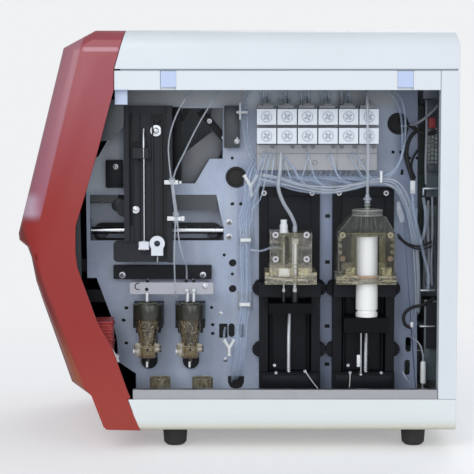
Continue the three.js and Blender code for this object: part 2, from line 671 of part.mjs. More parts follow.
const PLATE_STRIP = 4.2;
const plateOutline = fromShares(PLATE_SHARES);
const plateFoot = plateOutline[6][1];
const plateFootX = trayFront[0][0] + SKIN;
const plateEndX = plateOutline[7][0];
const guideOpening = [
  [rodX, rodZ - OPENING_DROP], [rodX + ROD_LENGTH, rodZ - OPENING_DROP], [rodX + ROD_LENGTH, rodZ + ROD_RADIUS],
  [rodX + ROD_LENGTH - ROD_RADIUS, rodZ + OPENING_RISE / 2], [rodX + ROD_LENGTH - ROD_RADIUS * 2, rodZ + OPENING_RISE],
  [rodX, rodZ + OPENING_RISE],
];
const cutPlate = [PLATE_Y - OVERRUN, PLATE_BACK_Y + OVERRUN];
const holesOf = (shares, radius, sides) =>
  fromShares(shares).map(([x, z]) => rod('Y', radius, ...cutPlate, x, z, sides));
piece(
  'mid_plate',
  join(
    cut(
      prism('Y', plateOutline, PLATE_Y, PLATE_BACK_Y),
      prism('Y', fromShares(WINDOW_SHARES), ...cutPlate),
      prism('Y', guideOpening, ...cutPlate),
      holesOf(GROMMET_SHARES, GROMMET_RADIUS, 28),
      holesOf(PLATE_HOLE_SHARES, PLATE_HOLE_RADIUS, 16),
      holesOf(SCREW_HOLE_SHARES, SCREW_HOLE_RADIUS, 8),
      fromShares(OVAL_SHARES).map(([x, z]) => roundedBox(
        'Y', x - OVAL_WIDTH / 2, x + OVAL_WIDTH / 2, z - OVAL_HEIGHT / 2, z + OVAL_HEIGHT / 2,
        OVAL_WIDTH / 2.2, ...cutPlate)),
    ),
    box(plateFootX, plateEndX, PLATE_Y, PLATE_BACK_Y, FLOOR_Z + FIT, plateFoot + FIT),
    box(plateFootX, plateEndX, PLATE_Y, PLATE_BACK_Y + PLATE_FOOT, FLOOR_Z + FIT, FLOOR_Z + FIT + PLATE_THICKNESS),
    box(SMALL_PUMP_X, plateOutline[8][0], PLATE_Y, PLATE_BACK_Y + PLATE_FOOT,
      plateOutline[8][1] - PLATE_THICKNESS, plateOutline[8][1]),
  ),
  platePaint,
);

// Front: black liner, red shell, display, sample pocket and its key

const LINER_THICKNESS = 2.5;
const LINER_SIDE_GAP = 2;
const DISPLAY_WIDTH = 250;
const DISPLAY_HEIGHT = 170;
const DISPLAY_BORDER = 16;
const DISPLAY_LEDGE = 4;
const DISPLAY_PROUD = 1.5;
const DISPLAY_DEPTH = 9;
const GLASS_THICKNESS = 2;
const POCKET_WIDTH = 44;
const POCKET_WALL = 2.5;
const POCKET_BACK_X = 31.5;
const POCKET_TOP_SHARE = 0.3;
const POCKET_BOTTOM_SHARE = 0.15;
const NEEDLE_STANDOFF = 42;
const needleY = PLATE_Y - NEEDLE_STANDOFF;
const pocketTop = POCKET_TOP_SHARE * HEIGHT;
const pocketBottom = POCKET_BOTTOM_SHARE * HEIGHT;
const pocketBack = PLATE_FRONT_X + POCKET_BACK_X;
const faceLow = frontOutline[3];
const faceHigh = frontOutline[2];
const faceMiddle = [(faceLow[0] + faceHigh[0]) / 2, (faceLow[1] + faceHigh[1]) / 2];
const faceTilt = Math.atan2(faceHigh[0] - faceLow[0], faceHigh[1] - faceLow[1]);

function tilted(solid) {
  const turn = new THREE.Matrix4().makeRotationY(faceTilt).setPosition(faceMiddle[0], 0, faceMiddle[1]);
  return solid.transform(turn.elements);
}

const displayOpening = tilted(box(
  -OVERRUN, OVERRUN, -DISPLAY_WIDTH / 2 - FIT, DISPLAY_WIDTH / 2 + FIT,
  -DISPLAY_HEIGHT / 2 - FIT, DISPLAY_HEIGHT / 2 + FIT));
const pocketMouth = (wall) => box(
  NOSE_X - OVERRUN, pocketBack - wall, needleY - POCKET_WIDTH / 2 + wall, needleY + POCKET_WIDTH / 2 - wall,
  pocketBottom - (wall ? OVERRUN : 0), pocketTop - wall);
const mouthOpening = box(
  NOSE_X - OVERRUN, toe[0][0], needleY - POCKET_WIDTH / 2 + POCKET_WALL, needleY + POCKET_WIDTH / 2 - POCKET_WALL,
  pocketBottom + POCKET_WALL, pocketTop - POCKET_WALL);
piece('front_shell', cut(noseBody(0), noseBody(SHELL_WALL), displayOpening, mouthOpening), redPlastic);

const linerSide = WIDTH / 2 - NOSE_BEVEL - LINER_SIDE_GAP;
const linerOutline = (wall) => {
  const front = inset([...frontOutline, ...toe, ...seam], wall).slice(0, frontOutline.length + toe.length);
  return [...front, [openBackX, front.at(-1)[1]], [openBackX, front[0][1]]];
};
const linerOuter = SHELL_WALL + FIT * 2;
const linerInner = linerOuter + LINER_THICKNESS;
const linerBackX = seam[0][0] - FIT;
const LINER_ARM_HEIGHT = 14;
const LINER_ARM_REACH = 34;
const linerArmShares = [0.33, 0.407];
const linerArms = linerArmShares.map((share) => box(
  NOSE_X, PLATE_FRONT_X + LINER_ARM_REACH, PLATE_BACK_Y + FIT, PLATE_BACK_Y + FIT + LINER_THICKNESS,
  share * HEIGHT, share * HEIGHT + LINER_ARM_HEIGHT));
const linerBlank = prism('Y', linerOutline(linerOuter), -linerSide, linerSide)
  .intersect(box(NOSE_X, linerBackX, NEAR_Y, FAR_Y, 0, HEIGHT));
const linerHollow = prism('Y', linerOutline(linerInner), -linerSide - OVERRUN, linerSide + OVERRUN);
const linerTrim = [
  displayOpening,
  box(NOSE_X - OVERRUN, openBackX, needleY - POCKET_WIDTH / 2 - FIT, needleY + POCKET_WIDTH / 2 + FIT,
    pocketBottom - OVERRUN, pocketTop + FIT),
];
piece(
  'front_frame',
  cut(join(cut(linerBlank, linerHollow), linerArms.map((arm) => arm.intersect(linerBlank))), linerTrim),
  blackPaint,
);

const display = groupAt(faceMiddle[0], 0, faceMiddle[1]);
display.rotation.y = faceTilt;
const glassHalf = [DISPLAY_WIDTH / 2 - DISPLAY_BORDER, DISPLAY_HEIGHT / 2 - DISPLAY_BORDER];
const ledgeHalf = glassHalf.map((half) => half - DISPLAY_LEDGE);
const glassX = DISPLAY_PROUD;
piece(
  'display_frame',
  cut(
    box(-DISPLAY_PROUD, DISPLAY_DEPTH, -DISPLAY_WIDTH / 2, DISPLAY_WIDTH / 2, -DISPLAY_HEIGHT / 2, DISPLAY_HEIGHT / 2),
    box(-OVERRUN, glassX + GLASS_THICKNESS + FIT, -glassHalf[0], glassHalf[0], -glassHalf[1], glassHalf[1]),
    box(-OVERRUN, OVERRUN, -ledgeHalf[0], ledgeHalf[0], -ledgeHalf[1], ledgeHalf[1]),
  ),
  blackPlastic,
  display,
);
piece(
  'display_glass',
  box(glassX, glassX + GLASS_THICKNESS, -glassHalf[0] + FIT, glassHalf[0] - FIT, -glassHalf[1] + FIT, glassHalf[1] - FIT),
  glassDark,
  display,
);

// The carriage and the needle move this far; the pocket's slot and the openings follow it.
const CARRIAGE_BACK_TRAVEL = 49;
const NEEDLE_RADIUS = 1.2;
const NEEDLE_X = 61.3;
const NEEDLE_TRAVEL = 88;
const needleX = rodX + NEEDLE_X;
const sampleX = needleX - CARRIAGE_BACK_TRAVEL;
const PROBE_HOLE_RADIUS = 3;
const POCKET_RIB = 1.2;
const KEY_WIDTH = 28;
const KEY_HEIGHT = 18;
const KEY_THICKNESS = 3;
const KEY_STEM_WIDTH = 10;
const KEY_STEM_HEIGHT = 8;
const KEY_STEM_LENGTH = 12;
const KEY_TRAVEL = 2.5;
const KEY_Z_SHARE = 0.205;
const keyZ = KEY_Z_SHARE * HEIGHT;
const pocketRibShares = [0.06, 0.36];
const innerNose = noseBody(SHELL_WALL + FIT);
const wallFaceX = pocketBack - POCKET_WALL;
const pocketRibs = pocketRibShares.map((share) => {
  const z = pocketTop - share * (pocketTop - pocketBottom);
  return box(wallFaceX, pocketBack + POCKET_RIB, needleY - POCKET_WIDTH / 2, needleY + POCKET_WIDTH / 2, z - POCKET_RIB * 2, z);
});
piece(
  'sample_pocket',
  cut(
    join(pocketMouth(0).intersect(innerNose), pocketRibs),
    pocketMouth(POCKET_WALL),
    rod('Z', PROBE_HOLE_RADIUS, pocketTop - OVERRUN, pocketTop + OVERRUN, sampleX, needleY, 16),
    box(wallFaceX - OVERRUN, pocketBack + OVERRUN, needleY - KEY_STEM_WIDTH / 2 - FIT, needleY + KEY_STEM_WIDTH / 2 + FIT,
      keyZ - KEY_STEM_HEIGHT / 2 - FIT, keyZ + KEY_STEM_HEIGHT / 2 + FIT),
  ),
  redPlastic,
);
const keyBackX = wallFaceX - KEY_TRAVEL - FIT;
piece(
  'aspirate_key',
  join(
    roundedBox('X', needleY - KEY_WIDTH / 2, needleY + KEY_WIDTH / 2, keyZ - KEY_HEIGHT / 2, keyZ + KEY_HEIGHT / 2,
      KEY_THICKNESS, keyBackX - KEY_THICKNESS, keyBackX),
    box(keyBackX - FIT, keyBackX + KEY_STEM_LENGTH, needleY - KEY_STEM_WIDTH / 2, needleY + KEY_STEM_WIDTH / 2,
      keyZ - KEY_STEM_HEIGHT / 2, keyZ + KEY_STEM_HEIGHT / 2),
  ),
  lightPlastic,
);

// Sampler, placed from the left end of its guide rod

const sampler = groupAt(rodX, PLATE_Y, rodZ);
const ROD_DEPTH = 10;
const BEAM_DEPTH = 28;
const BEAM_SHEET = 3;
const BEAM_RISE = 28.6;
const BEAM_DROP = 13.7;
const CHEEK_SHEET = 3.2;
const CHEEK_HALF_HEIGHT = 10;
const EAR_LENGTH = 9;
const BELT_DEPTH = 16;
const BELT_WIDTH = 6;
const BELT_THICKNESS = 3.5;
const PULLEY_RADIUS = 6.5;
const PULLEY_DROP = 3;
const PULLEY_INSET = 12;
const AXLE_RADIUS = 2.5;
const MOTOR_SIZE = 39;
const MOTOR_DEPTH = 34;
const MOTOR_CHAMFER = 4;
const SHAFT_REACH = 4;
const cheekTop = CHEEK_HALF_HEIGHT;
const cheekY = PLATE_THICKNESS + FIT;
const beamBack = BEAM_DEPTH + BEAM_SHEET;
const pulleyPlaces = [PULLEY_INSET, ROD_LENGTH - PULLEY_INSET];
piece(
  'guide_beam',
  cut(
    join(
      box(-CHEEK_SHEET, ROD_LENGTH + CHEEK_SHEET, BEAM_DEPTH, beamBack, -BEAM_DROP, BEAM_RISE),
      box(-CHEEK_SHEET, 0, cheekY, beamBack, -BEAM_DROP, cheekTop),
      box(ROD_LENGTH, ROD_LENGTH + CHEEK_SHEET, cheekY, beamBack, -BEAM_DROP, cheekTop),
      box(ROD_LENGTH, ROD_LENGTH + CHEEK_SHEET + EAR_LENGTH, cheekY, cheekY + CHEEK_SHEET, -BEAM_DROP, cheekTop),
    ),
    pulleyPlaces.map((x) => rod('Y', AXLE_RADIUS + FIT, BEAM_DEPTH - OVERRUN / 2, beamBack + OVERRUN, x, -PULLEY_DROP, 20)),
  ),
  bareSteel,
  sampler,
);
piece('guide_rod', rod('X', ROD_RADIUS, FIT, ROD_LENGTH - FIT, ROD_DEPTH, 0, 24), bareSteel, sampler);

const stadium = (radius, ends, across) => {
  const steps = 12;
  const half = (middle, start) => Array.from({ length: steps + 1 }, (_, i) => {
    const turn = start + (Math.PI * i) / steps;
    return [middle[0] + radius * Math.cos(turn), middle[1] + radius * Math.sin(turn)];
  });
  const start = across ? -Math.PI / 2 : 0;
  return [...half(ends[1], start), ...half(ends[0], start + Math.PI)];
};
const beltEnds = pulleyPlaces.map((x) => [x, -PULLEY_DROP]);
const beltSpan = [BELT_DEPTH, BELT_DEPTH + BELT_WIDTH];
piece(
  'x_belt',
  cut(
    prism('Y', stadium(PULLEY_RADIUS + FIT + BELT_THICKNESS, beltEnds, true), ...beltSpan),
    prism('Y', stadium(PULLEY_RADIUS + FIT, beltEnds, true), BELT_DEPTH - OVERRUN, beamBack),
  ),
  rubberBlack,
  sampler,
);
const pulleySolid = (x, end) => join(
  rod('Y', PULLEY_RADIUS, ...beltSpan, x, -PULLEY_DROP, 28),
  rod('Y', AXLE_RADIUS, BELT_DEPTH + FIT, end, x, -PULLEY_DROP, 20),
);
piece('x_drive_pulley', pulleySolid(pulleyPlaces[0], beamBack + SHAFT_REACH), bareSteel, sampler);
piece('x_idler_pulley', pulleySolid(pulleyPlaces[1], beamBack + FIT), bareSteel, sampler);
const motorBlock = (x, z, size, from, to) => prism('Y', [
  [x - size / 2 + MOTOR_CHAMFER, z - size / 2], [x + size / 2 - MOTOR_CHAMFER, z - size / 2],
  [x + size / 2, z - size / 2 + MOTOR_CHAMFER], [x + size / 2, z + size / 2 - MOTOR_CHAMFER],
  [x + size / 2 - MOTOR_CHAMFER, z + size / 2], [x - size / 2 + MOTOR_CHAMFER, z + size / 2],
  [x - size / 2, z + size / 2 - MOTOR_CHAMFER], [x - size / 2, z - size / 2 + MOTOR_CHAMFER],
], from, to);
piece(
  'x_motor',
  cut(
    motorBlock(pulleyPlaces[0], -PULLEY_DROP, MOTOR_SIZE, beamBack + FIT, beamBack + FIT + MOTOR_DEPTH),
    rod('Y', AXLE_RADIUS + FIT, beamBack - OVERRUN, beamBack + SHAFT_REACH + FIT * 2, pulleyPlaces[0], -PULLEY_DROP, 20),
  ),
  blackPaint,
  sampler,
);

const CARRIAGE_X = 40.1;
const CARRIAGE_WIDTH = 51.6;
const CARRIAGE_LENGTH = 167.3;
const CARRIAGE_STANDOFF = 32;
const CARRIAGE_THICKNESS = 6;
const RIM_WIDTH = 5.6;
const RIM_HEIGHT = 6;
const LOBE_WIDTH = 11.9;
const LOBE_HEIGHT = 22.6;
const LOBE_ROUND = 4;
const BUMP_RADIUS = 9;
const BUMP_RISE = 27;
const BEARING_X = 57;
const BEARING_LENGTH = 30;
const BEARING_HALF_HEIGHT = 8;
const CLAMP_LENGTH = 14;
const CLAMP_HEIGHT = 4;
const GROOVE_DEPTH = 3;
const GROOVE_X = 50;
const GROOVE_WIDTH = 6;
const SLIDER_HEIGHT = 11.2;
const SLIDER_DEPTH = 9.7;
const SLIDER_RISE = 81;
const Z_BELT_X = 75.5;
const Z_BELT_HALF = 5.5;
const Z_BELT_THICKNESS = 1.4;
const Z_BELT_WIDTH = 4;
const Z_MOTOR_SIZE = 28;
const Z_MOTOR_DEPTH = 27;
const Z_MOTOR_TOP_GAP = 15;
const IDLER_RING_RADIUS = 8.2;
const IDLER_HOLE_RADIUS = 3.2;
const IDLER_DEPTH = 7;
const IDLER_TAIL = 13;
const IDLER_TAIL_WIDTH = 12.8;
const IDLER_DROP = 9.6;
const faceY = -CARRIAGE_STANDOFF - CARRIAGE_THICKNESS;
const backY = -CARRIAGE_STANDOFF;
const carriageTop = CARRIAGE_LENGTH - ROD_RISE;
const carriageEnd = CARRIAGE_X + CARRIAGE_WIDTH;
const zMotorZ = carriageTop - Z_MOTOR_TOP_GAP;
const beltTopFace = PULLEY_RADIUS + FIT + BELT_THICKNESS - PULLEY_DROP;
const bearingEndY = BELT_DEPTH - FIT * 2;
const clampX = BEARING_X + (BEARING_LENGTH - CLAMP_LENGTH) / 2;
const grooveTop = SLIDER_RISE + SLIDER_HEIGHT + GROOVE_WIDTH;
const grooveBottom = SLIDER_RISE - NEEDLE_TRAVEL - GROOVE_WIDTH / 2;
const zShaftRadius = Z_BELT_HALF - Z_BELT_THICKNESS - FIT;
const SCREW_HEAD_RADIUS = 2.9;
const SCREW_HEAD_HEIGHT = 1.5;
const SCREW_SHARE_X = 0.673;
const SCREW_SHARE_Z = 0.838;
const carriageScrew = rod(
  'Y', SCREW_HEAD_RADIUS, faceY - SCREW_HEAD_HEIGHT, faceY + SCREW_HEAD_HEIGHT,
  CARRIAGE_X + SCREW_SHARE_X * CARRIAGE_WIDTH, -ROD_RISE + SCREW_SHARE_Z * CARRIAGE_LENGTH, 12);
piece(
  'carriage_plate',
  cut(
    join(
      box(CARRIAGE_X, carriageEnd, faceY, backY, -ROD_RISE, carriageTop),
      roundedBox('Y', CARRIAGE_X - LOBE_WIDTH, CARRIAGE_X + LOBE_WIDTH, -ROD_RISE, -ROD_RISE + LOBE_HEIGHT,
        LOBE_ROUND, faceY, backY),
      rod('Y', BUMP_RADIUS, faceY, backY, CARRIAGE_X, BUMP_RISE, 20),
      box(CARRIAGE_X, CARRIAGE_X + RIM_WIDTH, faceY - RIM_HEIGHT, backY, -ROD_RISE + LOBE_HEIGHT, carriageTop),
      box(carriageEnd - RIM_WIDTH, carriageEnd, faceY - RIM_HEIGHT, backY, -ROD_RISE, carriageTop),
      box(BEARING_X, BEARING_X + BEARING_LENGTH, backY - FIT, bearingEndY, -BEARING_HALF_HEIGHT, BEARING_HALF_HEIGHT),
      box(clampX, clampX + CLAMP_LENGTH, bearingEndY - CLAMP_HEIGHT, BELT_DEPTH + BELT_WIDTH,
        beltTopFace + FIT, beltTopFace + FIT + CLAMP_HEIGHT),
      box(clampX, clampX + CLAMP_LENGTH, 0, bearingEndY, 0, beltTopFace + FIT + CLAMP_HEIGHT),
      carriageScrew,
    ),
    rod('X', ROD_RADIUS + FIT, BEARING_X - OVERRUN, BEARING_X + BEARING_LENGTH + OVERRUN, ROD_DEPTH, 0, 24),
    box(GROOVE_X, GROOVE_X + GROOVE_WIDTH, faceY - OVERRUN, faceY + GROOVE_DEPTH, grooveBottom, grooveTop),
    rod('Y', zShaftRadius + FIT, faceY - OVERRUN, backY + OVERRUN / 4, Z_BELT_X, zMotorZ, 16),
  ),
  blackPlastic,
  sampler,
);
const zBeltEnds = [[Z_BELT_X, -IDLER_DROP], [Z_BELT_X, zMotorZ]];
const zBeltFront = faceY - FIT - Z_BELT_WIDTH;
piece(
  'z_belt',
  cut(
    prism('Y', stadium(Z_BELT_HALF, zBeltEnds, false), zBeltFront, faceY - FIT),
    prism('Y', stadium(Z_BELT_HALF - Z_BELT_THICKNESS, zBeltEnds, false), zBeltFront - OVERRUN, OVERRUN),
  ),
  rubberBlack,
  sampler,
);
piece(
  'z_motor',
  join(
    motorBlock(Z_BELT_X, zMotorZ, Z_MOTOR_SIZE, backY + FIT, backY + FIT + Z_MOTOR_DEPTH),
    rod('Y', zShaftRadius, zBeltFront, backY + FIT * 2, Z_BELT_X, zMotorZ, 16),
  ),
  blackPaint,
  sampler,
);
const idlerBack = zBeltFront - FIT;
piece(
  'z_idler_block',
  cut(
    join(
      rod('Y', IDLER_RING_RADIUS, idlerBack - IDLER_DEPTH, idlerBack, Z_BELT_X, -IDLER_DROP, 28),
      box(Z_BELT_X - IDLER_TAIL_WIDTH / 2, Z_BELT_X + IDLER_TAIL_WIDTH / 2, idlerBack - IDLER_DEPTH, idlerBack,
        -IDLER_DROP - IDLER_TAIL, -IDLER_DROP),
      box(Z_BELT_X - IDLER_TAIL_WIDTH / 2, Z_BELT_X + IDLER_TAIL_WIDTH / 2, idlerBack - IDLER_DEPTH / 2, faceY - FIT,
        -IDLER_DROP - IDLER_TAIL, -IDLER_DROP - Z_BELT_HALF - FIT),
    ),
    rod('Y', IDLER_HOLE_RADIUS, idlerBack - OVERRUN, idlerBack + OVERRUN / 4, Z_BELT_X, -IDLER_DROP, 16),
  ),
  lightPlastic,
  sampler,
);
const sliderRight = Z_BELT_X - IDLER_RING_RADIUS - FIT * 2;
const needleLocalY = -NEEDLE_STANDOFF;
piece(
  'z_slider',
  cut(
    join(
      box(GROOVE_X - FIT, sliderRight, faceY - SLIDER_DEPTH, faceY - FIT, SLIDER_RISE, SLIDER_RISE + SLIDER_HEIGHT),
      box(GROOVE_X + FIT, GROOVE_X + GROOVE_WIDTH - FIT, faceY - FIT * 2, faceY + GROOVE_DEPTH - FIT,
        SLIDER_RISE, SLIDER_RISE + SLIDER_HEIGHT),
      box(sliderRight - FIT, Z_BELT_X - Z_BELT_HALF - FIT * 2, zBeltFront, faceY - FIT, SLIDER_RISE, SLIDER_RISE + SLIDER_HEIGHT),
    ),
    rod('Z', NEEDLE_RADIUS + FIT, SLIDER_RISE - OVERRUN, SLIDER_RISE + SLIDER_HEIGHT + OVERRUN, NEEDLE_X, needleLocalY, 16),
  ),
  blackPlastic,
  sampler,
);
const SWAB_WIDTH = 11;
const SWAB_HEIGHT = 8.7;
const SWAB_DEPTH = 9.7;
const SWAB_TOP_DROP = 7.8;
const TIP_REACH = 1;
const COLLAR_RADIUS = 2;
const COLLAR_HEIGHT = 11;
const NEEDLE_HEAD = 9;
const swabTop = -SWAB_TOP_DROP;
const needleTip = swabTop - SWAB_HEIGHT - TIP_REACH;
const collarBottom = SLIDER_RISE + SLIDER_HEIGHT + FIT;
piece(
  'sample_needle',
  join(
    rod('Z', NEEDLE_RADIUS, needleTip, collarBottom + COLLAR_HEIGHT + NEEDLE_HEAD, NEEDLE_X, needleLocalY, 12),
    rod('Z', COLLAR_RADIUS, collarBottom, collarBottom + COLLAR_HEIGHT, NEEDLE_X, needleLocalY, 12),
  ),
  bareSteel,
  sampler,
);
piece(
  'wash_swab',
  cut(
    box(NEEDLE_X - SWAB_WIDTH / 2, NEEDLE_X + SWAB_WIDTH / 2, faceY - SWAB_DEPTH, faceY - FIT, swabTop - SWAB_HEIGHT, swabTop),
    rod('Z', NEEDLE_RADIUS + FIT, swabTop - OVERRUN, swabTop + OVERRUN, NEEDLE_X, needleLocalY, 12),
  ),
  lightPlastic,
  sampler,
);

// Bars under the carriage

const SENSOR_BAR_X = 25.9;
const SENSOR_BAR_LENGTH = 106.8;
const SENSOR_BAR_DEPTH = 10;
const RINSE_BAR_X = 45.2;
const RINSE_BAR_LENGTH = 90;
const RINSE_BAR_DEPTH = 8;
const RINSE_STANDOFF = 28;
const RINSE_LEG_RADIUS = 4;
const STUB_RADIUS = 1.4;
const STUB_FORK = 3.5;
const bars = groupAt(rodX, PLATE_Y, 0);
const stubY = -RINSE_STANDOFF - RINSE_BAR_DEPTH / 2;
const stubPlaces = [
  bathPlaces[0] - rodX,
  bathPlaces[1] - rodX - STUB_FORK,
  bathPlaces[1] - rodX + STUB_FORK,
];
piece(
  'sensor_bar',
  box(SENSOR_BAR_X, SENSOR_BAR_X + SENSOR_BAR_LENGTH, -FIT - SENSOR_BAR_DEPTH, -FIT, sensorBottom, sensorTop),
  blackPlastic,
  bars,
);
const rinseMiddle = (rinseBottom + rinseTop) / 2;
piece(
  'rinse_bar',
  join(
    box(RINSE_BAR_X, RINSE_BAR_X + RINSE_BAR_LENGTH, -RINSE_STANDOFF - RINSE_BAR_DEPTH, -RINSE_STANDOFF, rinseBottom, rinseTop),
    [RINSE_BAR_X + RINSE_LEG_RADIUS * 2, RINSE_BAR_X + RINSE_BAR_LENGTH - RINSE_LEG_RADIUS * 2].map((x) =>
      rod('Y', RINSE_LEG_RADIUS, -RINSE_STANDOFF - BAR_GAP, -FIT, x, rinseMiddle, 16)),
    stubPlaces.map((x) => rod('Z', STUB_RADIUS, rinseBottom - STUB_LENGTH, rinseTop + STUB_FORK, x, stubY, 10)),
  ),
  lightPlastic,
  bars,
);

// Baths in their holders, and the drain cups below them

const BATH_STANDOFF = 36;
const COLLAR_OUTER = 12;
const COLLAR_INNER = 10;
const COLLAR_DEPTH = 27;
const BODY_OUTER = 9.4;
const BODY_INNER = 7;
const BODY_TAPER = 9;
const BATH_FLOOR = 10;
const DRAIN_RADIUS = 2;
const DRAIN_LENGTH = 6;
const ELECTRODE_REACH = 14.7;
const ELECTRODE_RADIUS = 3.5;
const ELECTRODE_RISE = 9;
const HOLDER_WIDTH = 32;
const HOLDER_HEIGHT = 25.8;
const HOLDER_RIM_DROP = 1.1;
const HOLDER_FRONT_GAP = 6;
const HOLDER_STEP_WIDTH = 27;
const HOLDER_STEP_HEIGHT = 6;
const TAIL_WIDTH = 18;
const TAIL_DROP = 18;
const TAIL_THICKNESS = 4;
for (const [i, x] of bathPlaces.entries()) {
  const bath = groupAt(x, PLATE_Y - BATH_STANDOFF, bathBottom);
  const holderTop = BATH_HEIGHT - HOLDER_RIM_DROP;
  const holderBottom = holderTop - HOLDER_HEIGHT;
  const wallY = BATH_STANDOFF - FIT;
  const electrodes = rod('X', ELECTRODE_RADIUS, -ELECTRODE_REACH, ELECTRODE_REACH, 0, ELECTRODE_RISE, 16);
  const outside = turned([
    [0, -DRAIN_LENGTH], [DRAIN_RADIUS, -DRAIN_LENGTH], [DRAIN_RADIUS, 0], [BODY_OUTER, 0],
    [BODY_OUTER, BATH_HEIGHT - COLLAR_DEPTH - BODY_TAPER], [COLLAR_OUTER, BATH_HEIGHT - COLLAR_DEPTH],
    [COLLAR_OUTER, BATH_HEIGHT], [0, BATH_HEIGHT],
  ], 0, 0, 20);
  const inside = turned([
    [0, BATH_FLOOR], [BODY_INNER / 2, BATH_FLOOR], [BODY_INNER, BATH_FLOOR + BODY_INNER],
    [BODY_INNER, BATH_HEIGHT - COLLAR_DEPTH - BODY_TAPER], [COLLAR_INNER, BATH_HEIGHT - COLLAR_DEPTH],
    [COLLAR_INNER, BATH_HEIGHT + OVERRUN], [0, BATH_HEIGHT + OVERRUN],
  ], 0, 0, 20);
  piece(`bath_${i + 1}`, cut(join(outside, electrodes), inside), clearAmber, bath);
  const bathRoom = turned([
    [0, -OVERRUN], [BODY_OUTER + FIT, -OVERRUN], [BODY_OUTER + FIT, BATH_HEIGHT - COLLAR_DEPTH - BODY_TAPER],
    [COLLAR_OUTER + FIT, BATH_HEIGHT - COLLAR_DEPTH], [COLLAR_OUTER + FIT, BATH_HEIGHT + OVERRUN],
    [0, BATH_HEIGHT + OVERRUN],
  ], 0, 0, 20);
  piece(
    `bath_holder_${i + 1}`,
    cut(
      join(
        box(-HOLDER_WIDTH / 2, HOLDER_WIDTH / 2, HOLDER_FRONT_GAP, wallY, holderBottom, holderTop),
        box(-HOLDER_STEP_WIDTH / 2, HOLDER_STEP_WIDTH / 2, HOLDER_FRONT_GAP * 2, wallY,
          holderBottom - HOLDER_STEP_HEIGHT, holderBottom + FIT),
        box(-TAIL_WIDTH / 2, TAIL_WIDTH / 2, wallY - TAIL_THICKNESS, wallY, -TAIL_DROP / 2, holderBottom),
        rod('Y', TAIL_WIDTH / 2, wallY - TAIL_THICKNESS, wallY, 0, -TAIL_DROP / 2, 24),
      ),
      bathRoom,
    ),
    blackPlastic,
    bath,
  );
}

const CUP_OUTER = 11.5;
const CUP_INNER = 9.5;
const CUP_DEPTH = 16;
const CUP_SHIFT = 13.4;
const CUP_BASE_HEIGHT = 3;
const cupTop = SILL_TOP + CUP_RISE;
const cupFloor = FLOOR_Z + FIT;
const cupPlaces = bathPlaces.map((x) => x + CUP_SHIFT);
piece(
  'drain_cups',
  cut(
    join(
      box(cupPlaces[0], cupPlaces[1], PLATE_Y - BATH_STANDOFF - CUP_INNER, PLATE_Y - BATH_STANDOFF + CUP_INNER,
        cupFloor, cupFloor + CUP_BASE_HEIGHT),
      cupPlaces.map((x) => rod('Z', CUP_OUTER, cupFloor, cupTop, x, PLATE_Y - BATH_STANDOFF, 28)),
    ),
    cupPlaces.map((x) => rod('Z', CUP_INNER, cupTop - CUP_DEPTH, cupTop + OVERRUN, x, PLATE_Y - BATH_STANDOFF, 28)),
  ),
  clearAmber,
);

// Valve manifold with two rows of six valves

const VALVE_COUNT = 6;
const VALVE_PITCH = 21.7;
const VALVE_WIDTH = 20.6;
const VALVE_START = 3;
const UPPER_VALVE_Z = 49;
const LOWER_VALVE_Z = 28.9;
const VALVE_HEIGHT = 16.8;
const VALVE_FRONT = 48;
const VALVE_BACK = 24;
const VALVE_STRIP = 3;
const VALVE_BOSS_RADIUS = 5.6;
const VALVE_BOSS_HEIGHT = 0.8;
const MANIFOLD_HEIGHT = 27.7;
const MANIFOLD_FRONT = 30;
const BARB_OUTER = 2;
const BARB_RISE = 13;
const BARB_DROP = 6;
const valveWidth = (VALVE_COUNT - 1) * VALVE_PITCH + VALVE_WIDTH;
const valves = groupAt(SMALL_PUMP_X - VALVE_START, PLATE_Y, VALVE_BOTTOM);
const valveCentres = Array.from({ length: VALVE_COUNT }, (_, i) => i * VALVE_PITCH + VALVE_WIDTH / 2);
const manifoldBack = VALVE_BACK - VALVE_STRIP;
const ledgeTop = Math.min(MANIFOLD_HEIGHT, LOWER_VALVE_Z - FIT);
piece(
  'valve_manifold',
  join(
    box(0, valveWidth, -manifoldBack + FIT, -FIT, 0, VALVE_STACK),
    box(0, valveWidth, -MANIFOLD_FRONT, -FIT, 0, ledgeTop),
    valveCentres.map((x) => rod('Z', BARB_OUTER, VALVE_STACK - FIT, VALVE_STACK + BARB_RISE, x, -manifoldBack / 2, 8)),
    valveCentres.map((x) => rod('Z', BARB_OUTER, -BARB_DROP, FIT, x, -MANIFOLD_FRONT / 2, 8)),
  ),
  lightPlastic,
  valves,
);
for (const [name, bottom] of [['valve_row_upper', UPPER_VALVE_Z], ['valve_row_lower', LOWER_VALVE_Z]]) {
  const middle = bottom + VALVE_HEIGHT / 2;
  piece(
    name,
    join(
      box(0, valveWidth, -VALVE_BACK, -manifoldBack, bottom, bottom + VALVE_HEIGHT),
      valveCentres.map((x) => box(
        x - VALVE_WIDTH / 2, x + VALVE_WIDTH / 2, -VALVE_FRONT, -VALVE_BACK + FIT, bottom, bottom + VALVE_HEIGHT)),
      valveCentres.map((x) => rod(
        'Y', VALVE_BOSS_RADIUS, -VALVE_FRONT - VALVE_BOSS_HEIGHT, -VALVE_FRONT + FIT, x, middle, 16)),
    ),
    lightPlastic,
    valves,
  );
}

// Syringe pumps: a black channel frame, a clear block, plungers on a yoke, and a lead screw

